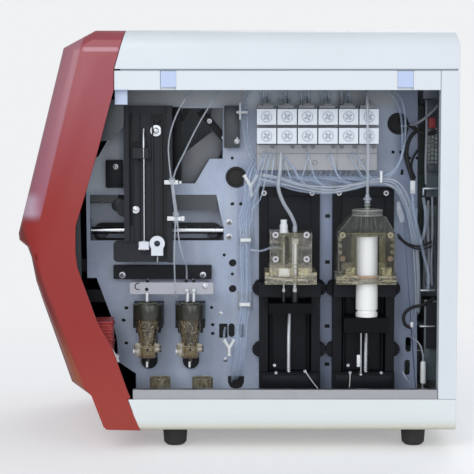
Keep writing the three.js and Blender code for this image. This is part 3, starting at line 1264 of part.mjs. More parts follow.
const FRAME_BACK = 8;
const FRAME_FRONT = 22;
const FRAME_WALL = 9.6;
const FRAME_BASE = 26;
const BASE_FRONT = 30;
const SHELF_BOTTOM_SHARE = 0.482;
const SHELF_TOP_SHARE = 0.549;
const SHELF_FRONT = 36;
const EAR_REACH = 4.8;
const EAR_HEIGHT = 16;
const EAR_ROUND = 4;
const EAR_SHARES = [0.478, 0.177];
const BLOCK_BOTTOM_SHARE = 0.553;
const BLOCK_TOP_SHARE = 0.796;
const BLOCK_FRONT = 58;
const FLANGE_HEIGHT = 13;
const PLUNGER_STANDOFF = 40;
const SCREW_RADIUS = 3;
const SCREW_STANDOFF = 24;
const JOURNAL_RADIUS = 2.5;
const JOURNAL_LENGTH = 14;
const YOKE_FRONT = 52;
const YOKE_BACK = 17;
const YOKE_SIDE_GAP = 0.6;
const BORE_GAP = 0.4;
const CHAMBER_SIDES = 18;
const shelfBottom = SHELF_BOTTOM_SHARE * PUMP_HEIGHT;
const shelfTop = SHELF_TOP_SHARE * PUMP_HEIGHT;
const blockBottom = BLOCK_BOTTOM_SHARE * PUMP_HEIGHT;
const blockTop = BLOCK_TOP_SHARE * PUMP_HEIGHT;

// One pump; its spec gives the widths, the plungers and the yoke of the two sizes
function addPump(prefix, x, spec) {
  const pump = groupAt(x, PLATE_Y, PUMP_BOTTOM);
  const { width, plungers, screwX, blockSide, flangeSide } = spec;
  const [yokeBottom, yokeTop] = spec.yoke.map((share) => share * PUMP_HEIGHT);
  const screwTop = yokeTop - FIT;
  const bores = plungers.map((p) => rod(
    'Z', p.radius + BORE_GAP, shelfBottom - OVERRUN, shelfTop + OVERRUN, p.x, -PLUNGER_STANDOFF, 24));
  const ears = EAR_SHARES.map((share) => roundedBox(
    'Y', -EAR_REACH, width + EAR_REACH, share * PUMP_HEIGHT, share * PUMP_HEIGHT + EAR_HEIGHT,
    EAR_ROUND, -FRAME_BACK, -FIT));
  const frame = join(
    box(0, width, -FRAME_BACK, -FIT, 0, PUMP_HEIGHT),
    box(0, FRAME_WALL, -FRAME_FRONT, -FRAME_BACK, 0, shelfTop),
    box(width - FRAME_WALL, width, -FRAME_FRONT, -FRAME_BACK, 0, shelfTop),
    box(0, width, -BASE_FRONT, -FRAME_BACK, 0, FRAME_BASE),
    box(0, width, -SHELF_FRONT, -FRAME_BACK, shelfBottom, shelfTop),
    ears,
  );
  const journalRoom = rod('Z', JOURNAL_RADIUS + FIT, FRAME_BASE - JOURNAL_LENGTH, FRAME_BASE + OVERRUN, screwX, -SCREW_STANDOFF, 20);
  piece(`${prefix}_frame`, cut(frame, journalRoom, bores), blackPlastic, pump);

  const blockBack = -FRAME_BACK - FIT;
  const body = [
    box(blockSide, width - blockSide, -BLOCK_FRONT, blockBack, blockBottom, blockTop),
    box(flangeSide, width - flangeSide, -BLOCK_FRONT, blockBack, blockBottom, blockBottom + FLANGE_HEIGHT),
  ];
  const chambers = plungers.map((p) => rod(
    'Z', p.radius + BORE_GAP, blockBottom - OVERRUN, p.top + p.reserve, p.x, -PLUNGER_STANDOFF, CHAMBER_SIDES));
  piece(`${prefix}_block`, cut(join(...body, spec.top()), chambers, spec.ducts()), clearAmber, pump);

  const yokeSide = FRAME_WALL + YOKE_SIDE_GAP;
  piece(
    `${prefix}_carriage`,
    cut(
      box(yokeSide, width - yokeSide, -YOKE_FRONT, -YOKE_BACK, yokeBottom, yokeTop),
      rod('Z', SCREW_RADIUS + FIT, yokeBottom - OVERRUN, yokeTop + OVERRUN, screwX, -SCREW_STANDOFF, 20),
    ),
    blackPlastic,
    pump,
  );
  piece(
    `${prefix}_screw`,
    join(
      rod('Z', SCREW_RADIUS, FRAME_BASE + FIT, screwTop, screwX, -SCREW_STANDOFF, 16),
      rod('Z', JOURNAL_RADIUS, FRAME_BASE - JOURNAL_LENGTH + FIT, FRAME_BASE + FIT * 2, screwX, -SCREW_STANDOFF, 16),
    ),
    bareSteel,
    pump,
  );
  piece(`${prefix}_plunger`, spec.plungerSolid(yokeTop + FIT), lightPlastic, pump);
}

const SMALL_PLUNGER_RADIUS = 1.9;
const WIDE_PLUNGER_RADIUS = 3.6;
const SMALL_PLUNGER_X = 25.9;
const WIDE_PLUNGER_X = 37.9;
const SMALL_PLUNGER_SHARE = 0.743;
const SMALL_RESERVE = 6;
const SMALL_SCREW_X = 32.5;
const SMALL_YOKE_SHARES = [0.4115, 0.46];
const SMALL_BLOCK_SIDE = 10.6;
const SMALL_FLANGE_SIDE = 5.6;
const PLUNGER_FOOT_HEIGHT = 4;
const FITTING_RADIUS = 3.3;
const FITTING_HEIGHT = 13;
const DUCT_RADIUS = 1;
const smallPlungerTop = SMALL_PLUNGER_SHARE * PUMP_HEIGHT;
const smallPlungers = [
  { x: SMALL_PLUNGER_X, radius: SMALL_PLUNGER_RADIUS, top: smallPlungerTop, reserve: SMALL_RESERVE },
  { x: WIDE_PLUNGER_X, radius: WIDE_PLUNGER_RADIUS, top: smallPlungerTop, reserve: SMALL_RESERVE },
];
addPump('small_pump', SMALL_PUMP_X, {
  width: SMALL_PUMP_WIDTH,
  plungers: smallPlungers,
  screwX: SMALL_SCREW_X,
  yoke: SMALL_YOKE_SHARES,
  blockSide: SMALL_BLOCK_SIDE,
  flangeSide: SMALL_FLANGE_SIDE,
  top: () => rod('Z', FITTING_RADIUS, blockTop - FIT, blockTop + FITTING_HEIGHT, SMALL_PLUNGER_X, -PLUNGER_STANDOFF, 16),
  ducts: () => smallPlungers.map((p) => rod(
    'Z', DUCT_RADIUS, p.top, blockTop + FITTING_HEIGHT + FIT, p.x, -PLUNGER_STANDOFF, 8)),
  plungerSolid: (from) => join(
    ...smallPlungers.map((p) => rod('Z', p.radius, from, p.top, p.x, -PLUNGER_STANDOFF, 20)),
    box(SMALL_PLUNGER_X, WIDE_PLUNGER_X, -PLUNGER_STANDOFF - SMALL_PLUNGER_RADIUS, -PLUNGER_STANDOFF + SMALL_PLUNGER_RADIUS,
      from, from + PLUNGER_FOOT_HEIGHT),
  ),
});

const LARGE_PLUNGER_RADIUS = 11.7;
const LARGE_PLUNGER_X = 35.2;
const LARGE_PLUNGER_SHARE = 0.776;
const LARGE_RESERVE = 2.8;
const LARGE_YOKE_SHARES = [0.3186, 0.391];
const LARGE_BLOCK_SIDE = 3;
const LARGE_FLANGE_SIDE = 1.5;
const GROOVE_RADIUS = 10.4;
const GROOVE_RISE = 4.8;
const GROOVE_HEIGHT = 2.9;
const CONE_HEIGHT = 17.6;
const CONE_TOP_HALF = 18.4;
const CONE_TOP_DEPTH = 14;
const DISC_RADIUS = 16.5;
const DISC_HEIGHT = 6;
const NOZZLE_RADIUS = 3;
const NOZZLE_HEIGHT = 8;
const NOZZLE_BORE = 1.4;
const largePlungerTop = LARGE_PLUNGER_SHARE * PUMP_HEIGHT;
const coneTop = blockTop + CONE_HEIGHT;
const nozzleTop = coneTop + DISC_HEIGHT + NOZZLE_HEIGHT;
const rectangle = (x0, x1, y0, y1, z) => [[x0, y0], [x1, y0], [x1, y1], [x0, y1]]
  .map(([x, y]) => new THREE.Vector3(x, y, z));
function cone() {
  const low = rectangle(LARGE_BLOCK_SIDE, LARGE_PUMP_WIDTH - LARGE_BLOCK_SIDE, -BLOCK_FRONT, -FRAME_BACK - FIT, blockTop - FIT);
  const high = rectangle(LARGE_PLUNGER_X - CONE_TOP_HALF, LARGE_PLUNGER_X + CONE_TOP_HALF,
    -PLUNGER_STANDOFF - CONE_TOP_DEPTH, -PLUNGER_STANDOFF + CONE_TOP_DEPTH, coneTop);
  const geometry = new THREE.BufferGeometry();
  geometry.setAttribute('position', new THREE.Float32BufferAttribute([...low, ...high].flatMap((p) => p.toArray()), 3));
  geometry.setIndex([0, 2, 1, 0, 3, 2, 4, 5, 6, 4, 6, 7, 0, 1, 5, 0, 5, 4, 1, 2, 6, 1, 6, 5, 2, 3, 7, 2, 7, 6, 3, 0, 4, 3, 4, 7]);
  return solidOf(geometry);
}
addPump('large_pump', LARGE_PUMP_X, {
  width: LARGE_PUMP_WIDTH,
  plungers: [{ x: LARGE_PLUNGER_X, radius: LARGE_PLUNGER_RADIUS, top: largePlungerTop, reserve: LARGE_RESERVE }],
  screwX: LARGE_PLUNGER_X + 1,
  yoke: LARGE_YOKE_SHARES,
  blockSide: LARGE_BLOCK_SIDE,
  flangeSide: LARGE_FLANGE_SIDE,
  top: () => join(
    cone(),
    rod('Z', DISC_RADIUS, coneTop - FIT, coneTop + DISC_HEIGHT, LARGE_PLUNGER_X, -PLUNGER_STANDOFF, 32),
    rod('Z', NOZZLE_RADIUS, coneTop, nozzleTop, LARGE_PLUNGER_X, -PLUNGER_STANDOFF, 16),
  ),
  ducts: () => rod('Z', NOZZLE_BORE, largePlungerTop, nozzleTop + FIT, LARGE_PLUNGER_X, -PLUNGER_STANDOFF, 10),
  plungerSolid: (from) => turned([
    [0, from], [LARGE_PLUNGER_RADIUS, from], [LARGE_PLUNGER_RADIUS, from + GROOVE_RISE], [GROOVE_RADIUS, from + GROOVE_RISE],
    [GROOVE_RADIUS, from + GROOVE_RISE + GROOVE_HEIGHT], [LARGE_PLUNGER_RADIUS, from + GROOVE_RISE + GROOVE_HEIGHT],
    [LARGE_PLUNGER_RADIUS, largePlungerTop], [0, largePlungerTop],
  ], LARGE_PLUNGER_X, -PLUNGER_STANDOFF, 32),
});

// Far bay: main board on posts behind the plate, power supply on the tray

const BOARD_STANDOFF = 26;
const BOARD_SHEET = 1.6;
const BOARD_LENGTH = 150;
const BOARD_BOTTOM_SHARE = 0.42;
const BOARD_TOP_SHARE = 0.82;
const POST_RADIUS = 3;
const POST_INSET = 16;
const CHIP_HEIGHT = 4;
const CHIP_SHARES = [[0.95, 0.1, 0.04, 0.2], [0.95, 0.45, 0.05, 0.12], [0.95, 0.75, 0.04, 0.2], [0.4, 0.3, 0.2, 0.2], [0.1, 0.6, 0.1, 0.3]];
const boardY = PLATE_BACK_Y + BOARD_STANDOFF;
const boardEndX = POST_X - POST_WIDTH / 10;
const boardX = boardEndX - BOARD_LENGTH;
const boardBottom = BOARD_BOTTOM_SHARE * HEIGHT;
const boardTop = BOARD_TOP_SHARE * HEIGHT;
const boardPosts = [[boardX + POST_INSET, boardBottom + POST_INSET], [boardX + POST_INSET, boardTop - POST_INSET],
  [plateEndX - POST_INSET, boardTop - POST_INSET], [plateEndX - POST_INSET, boardBottom + POST_INSET]];
piece(
  'main_board',
  join(
    box(boardX, boardEndX, boardY, boardY + BOARD_SHEET, boardBottom, boardTop),
    boardPosts.map(([x, z]) => rod('Y', POST_RADIUS, PLATE_BACK_Y + FIT, boardY + FIT, x, z, 10)),
    CHIP_SHARES.map(([x, z, long, high]) => box(
      boardX + x * BOARD_LENGTH, boardX + (x + long) * BOARD_LENGTH, boardY - CHIP_HEIGHT, boardY + FIT,
      boardBottom + z * (boardTop - boardBottom), boardBottom + (z + high) * (boardTop - boardBottom))),
  ),
  boardGreen,
);
const SUPPLY_LENGTH = 170;
const SUPPLY_DEPTH = 95;
const SUPPLY_HEIGHT = 52;
const SUPPLY_REAR_INSET = 60;
const SUPPLY_FAR_INSET = 45;
const supplyEndX = REAR_X - SUPPLY_REAR_INSET;
const supplyEndY = FAR_Y - SUPPLY_FAR_INSET;
piece(
  'power_supply',
  box(supplyEndX - SUPPLY_LENGTH, supplyEndX, supplyEndY - SUPPLY_DEPTH, supplyEndY, FLOOR_Z + FIT, FLOOR_Z + SUPPLY_HEIGHT),
  bareSteel,
);

// Hoses: their points are chosen by hand, in millimetres

const BUNDLE_RADIUS = 4.5;
const HOSE_RADIUS = 2;
const THIN_HOSE_RADIUS = 1.5;
const THICK_HOSE_RADIUS = 2.3;
const manifoldX = SMALL_PUMP_X - VALVE_START;
const anchored = (x, y, z, points) => points.map((point) => [x + point[0], y + point[1], z + point[2]]);

// Points from the lower left corner of the valves, in front of the mid plate
const VALVE_BUNDLE_POINTS = [
  [5, -34, -7], [24, -36, -11], [49, -38, -18], [79, -39, -21], [104, -39, -17], [129, -38, -12], [147, -37, -15],
  [159, -34, -29], [166, -28, -51],
];
const SMALL_HOSE_POINTS = [[24, -36, -11], [23, -40, -23], [27, -42, -36], [37, -41, -50]];
const LARGE_HOSE_POINTS = [
  [118, -28, 88], [116, -46, 85], [117, -54, 69], [117, -55, 39], [117.5, -52, 14], [118, -44, -9],
];
const HOSE_END_RISE = 7;
// Points from the middle of the hose ports
const PORT_BUNDLE_POINTS = [[-37, -27, 89], [-34, -22, 59], [-33, -16, 33], [-33, -14, 10]];
const PORT_BRANCH_POINTS = [[-33, -14, 14], [-37.5, -17, 8], [-38.5, -20.5, 2]];
const bundleRoute = [
  ...anchored(manifoldX, PLATE_Y, VALVE_BOTTOM, VALVE_BUNDLE_POINTS),
  ...anchored(REAR_X, portY, portZ, PORT_BUNDLE_POINTS),
];
const barbBottom = VALVE_BOTTOM - BARB_DROP - FIT;
const barbTop = VALVE_BOTTOM + VALVE_STACK + BARB_RISE;
const branches = valveCentres.map((x, i) => {
  const start = [manifoldX + x, PLATE_Y - MANIFOLD_FRONT / 2, barbBottom];
  const target = bundleRoute[i + 1];
  const middle = [(start[0] * 2 + target[0]) / 3, (start[1] + target[1]) / 2, (start[2] + target[2]) / 2];
  return hose([start, [start[0], start[1], start[2] - BARB_DROP / 2], middle, target], HOSE_RADIUS, 6, 6);
});
const nippleX = REAR_X - PORT_BOX_DEPTH - BARB_LENGTH / 2;
const portBranch = hose([
  ...anchored(REAR_X, portY, portZ, PORT_BRANCH_POINTS),
  [nippleX - HOSE_END_RISE / 2, portY + portPlaces[0], portZ],
  [nippleX - FIT, portY + portPlaces[0], portZ],
], HOSE_RADIUS, 10, 6);
const smallPortX = SMALL_PUMP_X + WIDE_PLUNGER_X;
const largePortX = LARGE_PUMP_X + LARGE_PLUNGER_X;
const pumpHoseY = PLATE_Y - PLUNGER_STANDOFF;
const smallPortZ = PUMP_BOTTOM + blockTop + FIT;
const largePortZ = PUMP_BOTTOM + nozzleTop + FIT;
const smallHose = hose([
  ...anchored(manifoldX, PLATE_Y, VALVE_BOTTOM, SMALL_HOSE_POINTS),
  [smallPortX, pumpHoseY, smallPortZ + HOSE_END_RISE], [smallPortX, pumpHoseY, smallPortZ],
], THICK_HOSE_RADIUS, 12);
const largeHose = hose([
  [manifoldX + valveCentres.at(-1), PLATE_Y - manifoldBack / 2, barbTop + FIT],
  [manifoldX + valveCentres.at(-1), PLATE_Y - manifoldBack / 2, barbTop + HOSE_END_RISE / 2],
  ...anchored(manifoldX, PLATE_Y, VALVE_BOTTOM, LARGE_HOSE_POINTS),
  [largePortX, pumpHoseY, largePortZ + HOSE_END_RISE], [largePortX, pumpHoseY, largePortZ],
], THICK_HOSE_RADIUS, 24);
piece('tube_loom', join(hose(bundleRoute, BUNDLE_RADIUS, 30, 8), branches, portBranch, smallHose, largeHose), hoseClear);

// Points from the left end of the guide rod, at the mid plate
const TIE_RADIUS = 4;
const TIE_HEIGHT = 4.5;
const TIE_POINTS = [[92, -56.5, 58.5], [96, -56.5, 22.5]];
const BATH_HOSE_POINTS = [
  [138.5, -4, 160.5], [124.5, -26, 162.5], [110.5, -50, 150.5], [96.5, -56, 126.5], [88.5, -56.5, 98.5], [89.5, -56.5, 72.5],
  [91, -56.5, 58.5], [93, -56.5, 38.5], [95, -56.5, 22.5], [94.5, -56.5, -7.5], [94, -52, -33.5], [94.5, -43.5, -60],
  [95, -37.5, -68.5],
];
const RINSE_HOSE_POINTS = [
  [163.5, -4, 162.5], [150.5, -28, 162.5], [136.5, -50, 144.5], [118.5, -56, 114.5], [104.5, -56.5, 86.5],
  [96.5, -56.5, 70.5], [93, -56.5, 58.5], [95, -56.5, 38.5], [97, -56.5, 22.5], [99, -56, -5.5], [103.5, -53, -24.5],
];
const atSampler = (points) => anchored(rodX, PLATE_Y, rodZ, points);
const stubX = rodX + stubPlaces[1];
const bathHoseX = bathPlaces[1] - HOLDER_WIDTH / 2 + THIN_HOSE_RADIUS * 2;
const bathHoseY = PLATE_Y - BATH_STANDOFF + HOLDER_FRONT_GAP + THIN_HOSE_RADIUS * 2;
const bathHoseZ = bathTop - HOLDER_RIM_DROP + FIT;
piece(
  'sampler_tubes',
  join(
    hose([
      ...atSampler(BATH_HOSE_POINTS), [bathHoseX, bathHoseY, bathHoseZ + HOSE_END_RISE / 2],
      [bathHoseX, bathHoseY, bathHoseZ],
    ], THIN_HOSE_RADIUS, 32, 6),
    hose([
      ...atSampler(RINSE_HOSE_POINTS),
      [stubX, PLATE_Y + stubY - HOSE_END_RISE, rinseTop + STUB_FORK + HOSE_END_RISE * 2],
      [stubX, PLATE_Y + stubY, rinseTop + STUB_FORK + HOSE_END_RISE / 2],
      [stubX, PLATE_Y + stubY, rinseTop + STUB_FORK + FIT],
    ], THIN_HOSE_RADIUS, 32, 6),
    atSampler(TIE_POINTS).map(([x, y, z]) => rod('Z', TIE_RADIUS, z - TIE_HEIGHT / 2, z + TIE_HEIGHT / 2, x, y, 12)),
  ),
  hoseClear,
);

export default analyzer;
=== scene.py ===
"""A hematology analyzer with its service side open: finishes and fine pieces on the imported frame.

Lengths are written in millimetres of the shared frame and turned to metres where a mesh is made.
"""

import json
import math
import random

import bmesh
import bpy
from mathutils import Matrix, Vector


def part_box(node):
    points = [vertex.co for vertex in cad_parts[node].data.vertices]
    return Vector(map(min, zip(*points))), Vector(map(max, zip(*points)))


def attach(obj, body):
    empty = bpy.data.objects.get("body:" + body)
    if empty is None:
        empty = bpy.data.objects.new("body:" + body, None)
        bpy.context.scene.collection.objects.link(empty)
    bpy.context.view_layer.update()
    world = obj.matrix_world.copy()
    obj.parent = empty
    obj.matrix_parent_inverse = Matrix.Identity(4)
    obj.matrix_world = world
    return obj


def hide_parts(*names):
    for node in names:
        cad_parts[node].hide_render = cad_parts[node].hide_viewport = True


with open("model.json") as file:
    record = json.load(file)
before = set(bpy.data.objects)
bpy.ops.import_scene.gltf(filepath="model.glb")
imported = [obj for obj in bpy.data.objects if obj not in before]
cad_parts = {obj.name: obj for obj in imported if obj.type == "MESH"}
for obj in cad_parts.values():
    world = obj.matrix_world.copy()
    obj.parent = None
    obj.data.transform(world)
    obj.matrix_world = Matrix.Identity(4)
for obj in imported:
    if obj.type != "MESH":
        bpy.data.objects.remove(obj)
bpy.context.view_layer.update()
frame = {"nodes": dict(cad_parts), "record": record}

MM = 0.001
UP, DOWN, TO_FRONT, TO_REAR = (0, 0, 1), (0, 0, -1), (-1, 0, 0), (1, 0, 0)
TO_OPEN_SIDE, TO_FAR_SIDE, ORIGIN = (0, -1, 0), (0, 1, 0), (0, 0, 0)
SHARP_ANGLE = 34  # degrees between two faces, past which their edge shows
ANY_TURN = 6.28  # radians: screws stop wherever they are tight
REAR_X, FAR_Y = 229, 165  # outer faces of the rear panel and the far side cover
HEAD_ROOM = 0.7  # by which those faces are drawn in under their screw heads
PLATE_FACE_Y = -70
BODY_OF = {
    node: body
    for body, nodes in frame["record"]["behaviour"]["bodies"].items()
    for node in nodes
}


# Camera: at the height of the valves, looking at the open side

VIEW_TARGET = Vector((0, -165, 225)) * MM
VIEW_DISTANCE = 1.7
VIEW_ELEVATION = math.radians(5)
VIEW_LENS = 124.69


def add_camera():
    data = bpy.data.cameras.new("camera")
    data.lens = VIEW_LENS
    data.sensor_width = 36
    camera = bpy.data.objects.new("camera", data)
    away = Vector((0, -math.cos(VIEW_ELEVATION), math.sin(VIEW_ELEVATION)))
    camera.location = VIEW_TARGET + VIEW_DISTANCE * away
    camera.rotation_euler = (-away).to_track_quat("-Z", "Y").to_euler()
    bpy.context.scene.collection.objects.link(camera)
    bpy.context.scene.camera = camera


add_camera()


# Shader maths: a signal is a socket of one material's tree


class Signal:
    def __init__(self, finish, socket):
        self.finish = finish
        self.socket = socket

    def math(self, operation, other=None, swapped=False):
        first, second = (other, self) if swapped else (self, other)
        values = {0: first} if second is None else {0: first, 1: second}
        return self.finish.node("ShaderNodeMath", {"operation": operation}, values)

    def __add__(self, other):
        return self.math("ADD", other)

    def __radd__(self, other):
        return self.math("ADD", other, True)

    def __sub__(self, other):
        return self.math("SUBTRACT", other)

    def __rsub__(self, other):
        return self.math("SUBTRACT", other, True)

    def __mul__(self, other):
        return self.math("MULTIPLY", other)

    def __rmul__(self, other):
        return self.math("MULTIPLY", other, True)

    def __pow__(self, other):
        return self.math("POWER", other)

    def clamped(self, low, high):
        return self.math("MAXIMUM", low).math("MINIMUM", high)

    def step(self, low, high):
        """0 below low, 1 above high, and smooth between them."""
        settings = {"interpolation_type": "SMOOTHSTEP"}
        values = {"Value": self, "From Min": low, "From Max": high, "To Min": 0.0, "To Max": 1.0}
        return self.finish.node("ShaderNodeMapRange", settings, values)


class Finish:
    """One material; its numbers that don't vary are set on the shader's own sockets."""

    def __init__(self, name, slot, **constants):
        self.slot = slot
        self.material = bpy.data.materials.new(name)
        self.material.use_nodes = True
        self.tree = self.material.node_tree
        self.tree.nodes.clear()
        self.shader = self.tree.nodes.new("ShaderNodeBsdfPrincipled")
        output = self.tree.nodes.new("ShaderNodeOutputMaterial")
        self.tree.links.new(self.shader.outputs[0], output.inputs[0])
        self.place = None
        for key, value in constants.items():
            self.set(key.replace("_", " "), value)

    def set(self, name, value):
        self.feed(self.shader.inputs[name], value)

    def feed(self, socket, value):
        if isinstance(value, Signal):
            self.tree.links.new(value.socket, socket)
        elif socket.type == "RGBA":
            socket.default_value = (*value[:3], 1)
        else:
            socket.default_value = value

    def node(self, kind, settings, values, output=0):
        made = self.tree.nodes.new(kind)
        for key, value in settings.items():
            setattr(made, key, value)
        for key, value in values.items():
            self.feed(made.inputs[key], value)
        return Signal(self, made.outputs[output])

    def spot(self):
        """Object coordinates, in metres."""
        if self.place is None:
            self.place = self.node("ShaderNodeTexCoord", {}, {}, "Object")
        return self.place

    def axis(self, name):
        return self.node("ShaderNodeSeparateXYZ", {}, {0: self.spot()}, name)

    def stretched(self, scale):
        return self.node("ShaderNodeMapping", {}, {"Vector": self.spot(), "Scale": scale})

    def noise(self, scale, detail=3.0, roughness=0.5, vector=None):
        values = {"Scale": scale, "Detail": detail, "Roughness": roughness}
        return self.node("ShaderNodeTexNoise", {}, {"Vector": vector or self.spot(), **values})

    def mixed(self, factor, first, second):
        made = self.tree.nodes.new("ShaderNodeMix")
        made.data_type = "RGBA"
        self.feed(made.inputs["Factor"], factor)
        for socket, value in zip([s for s in made.inputs if s.type == "RGBA"], (first, second)):
            self.feed(socket, value)
        return Signal(self, next(s for s in made.outputs if s.type == "RGBA"))

    def bump(self, height, distance):
        values = {"Height": height, "Distance": distance, "Strength": 1.0}
        self.set("Normal", self.node("ShaderNodeBump", {}, values, "Normal"))

    def facing(self, blend):
        """0 where the surface is seen square on, 1 where it is seen edge-on."""
        return self.node("ShaderNodeLayerWeight", {}, {"Blend": blend}, "Facing")


def linear(red, green, blue):
    """A colour written as it is seen, 0 to 255, as the shader wants it."""
    def one(value):
        value /= 255
        return value / 12.92 if value <= 0.04045 else ((value + 0.055) / 1.055) ** 2.4
    return (one(red), one(green), one(blue))


def shade(colour, factor):
    return tuple(c * factor for c in colour)


# Finishes of this object


def powder_coat(name, slot, colour, peel=0.5, coat=0.25, shine=0.5):
    """Sheet steel with powder coat: fine orange peel, a faint cloudiness and specks of dust."""
    finish = Finish(name, slot, Metallic=0.0, Coat_Roughness=0.25, Specular_IOR_Level=shine)
    cloud = finish.noise(7, 2).step(0.35, 0.7)
    grime = finish.noise(60, 4, 0.6).step(0.55, 0.8)
    tint = finish.mixed(cloud * 0.5, colour, shade(colour, 0.93))
    finish.set("Base Color", finish.mixed(grime * 0.14, tint, shade(colour, 0.72)))
    finish.set("Roughness", 0.36 + finish.noise(180, 2) * 0.14)
    finish.set("Coat Weight", coat)
    peel_height = finish.noise(700, 2) + finish.noise(2600, 1) * 0.35
    finish.bump(peel_height, 0.00012 * peel)
    return finish


def moulded(name, slot, colour, roughness=0.38, grain=1.0, coat=0.0, mottling=0.06, shine=0.5):
    """Moulded plastic: spark-eroded grain, slight colour drift and rubbed patches."""
    finish = Finish(name, slot, Metallic=0.0, Coat_Roughness=0.12, Specular_IOR_Level=shine)
    drift = finish.noise(14, 3)
    rubbed = finish.noise(45, 5, 0.65).step(0.52, 0.75)
    tint = finish.mixed(drift, shade(colour, 1 - mottling), shade(colour, 1 + mottling))
    finish.set("Base Color", finish.mixed(rubbed * 0.12, tint, shade(colour, 1.25)))
    finish.set("Roughness", roughness + rubbed * 0.1 + finish.noise(300, 2) * 0.06)
    finish.set("Coat Weight", coat)
    finish.bump(finish.noise(1500, 3, 0.6), 0.00006 * grain)
    return finish


def metal(name, slot, colour, roughness=0.3, brush=(1, 1, 60), depth=1.0):
    """Bare metal with drawn or ground lines; brush stretches the grain across its run."""
    finish = Finish(name, slot, Metallic=1.0)
    lines = finish.noise(90, 3, 0.6, finish.stretched(brush))
    stain = finish.noise(30, 4, 0.6).step(0.5, 0.8)
    tint = finish.mixed(lines, shade(colour, 0.86), shade(colour, 1.06))
    finish.set("Base Color", finish.mixed(stain * 0.25, tint, shade(colour, 0.7)))
    finish.set("Roughness", roughness + lines * 0.16 + stain * 0.12)
    finish.bump(lines, 0.00003 * depth)
    return finish


def clear_plastic(name, slot, colour, alpha, edge, roughness=0.12):
    """Clear or smoked plastic: denser where it is seen edge-on, with faint flow marks and dust."""
    finish = Finish(name, slot, Metallic=0.0, Specular_IOR_Level=0.6, Coat_Roughness=0.05)
    flow = finish.noise(70, 4, 0.6)
    dust = finish.noise(500, 3, 0.7).step(0.62, 0.8)
    rim = finish.facing(0.35)
    finish.set("Base Color", finish.mixed(rim * 0.7 + flow * 0.2, colour, edge))
    finish.set("Roughness", roughness + flow * 0.08 + dust * 0.2)
    finish.set("Coat Weight", 0.4)
    finish.set("Alpha", (alpha + rim ** 2 * (1 - alpha) * 0.7 + dust * 0.1).clamped(0.0, 1.0))
    finish.bump(finish.noise(120, 2), 0.00008)
    return finish


def between(signal, low, high, soft):
    """1 between low and high, with soft ends."""
    return signal.step(low - soft, low) * (1 - signal.step(high, high + soft))


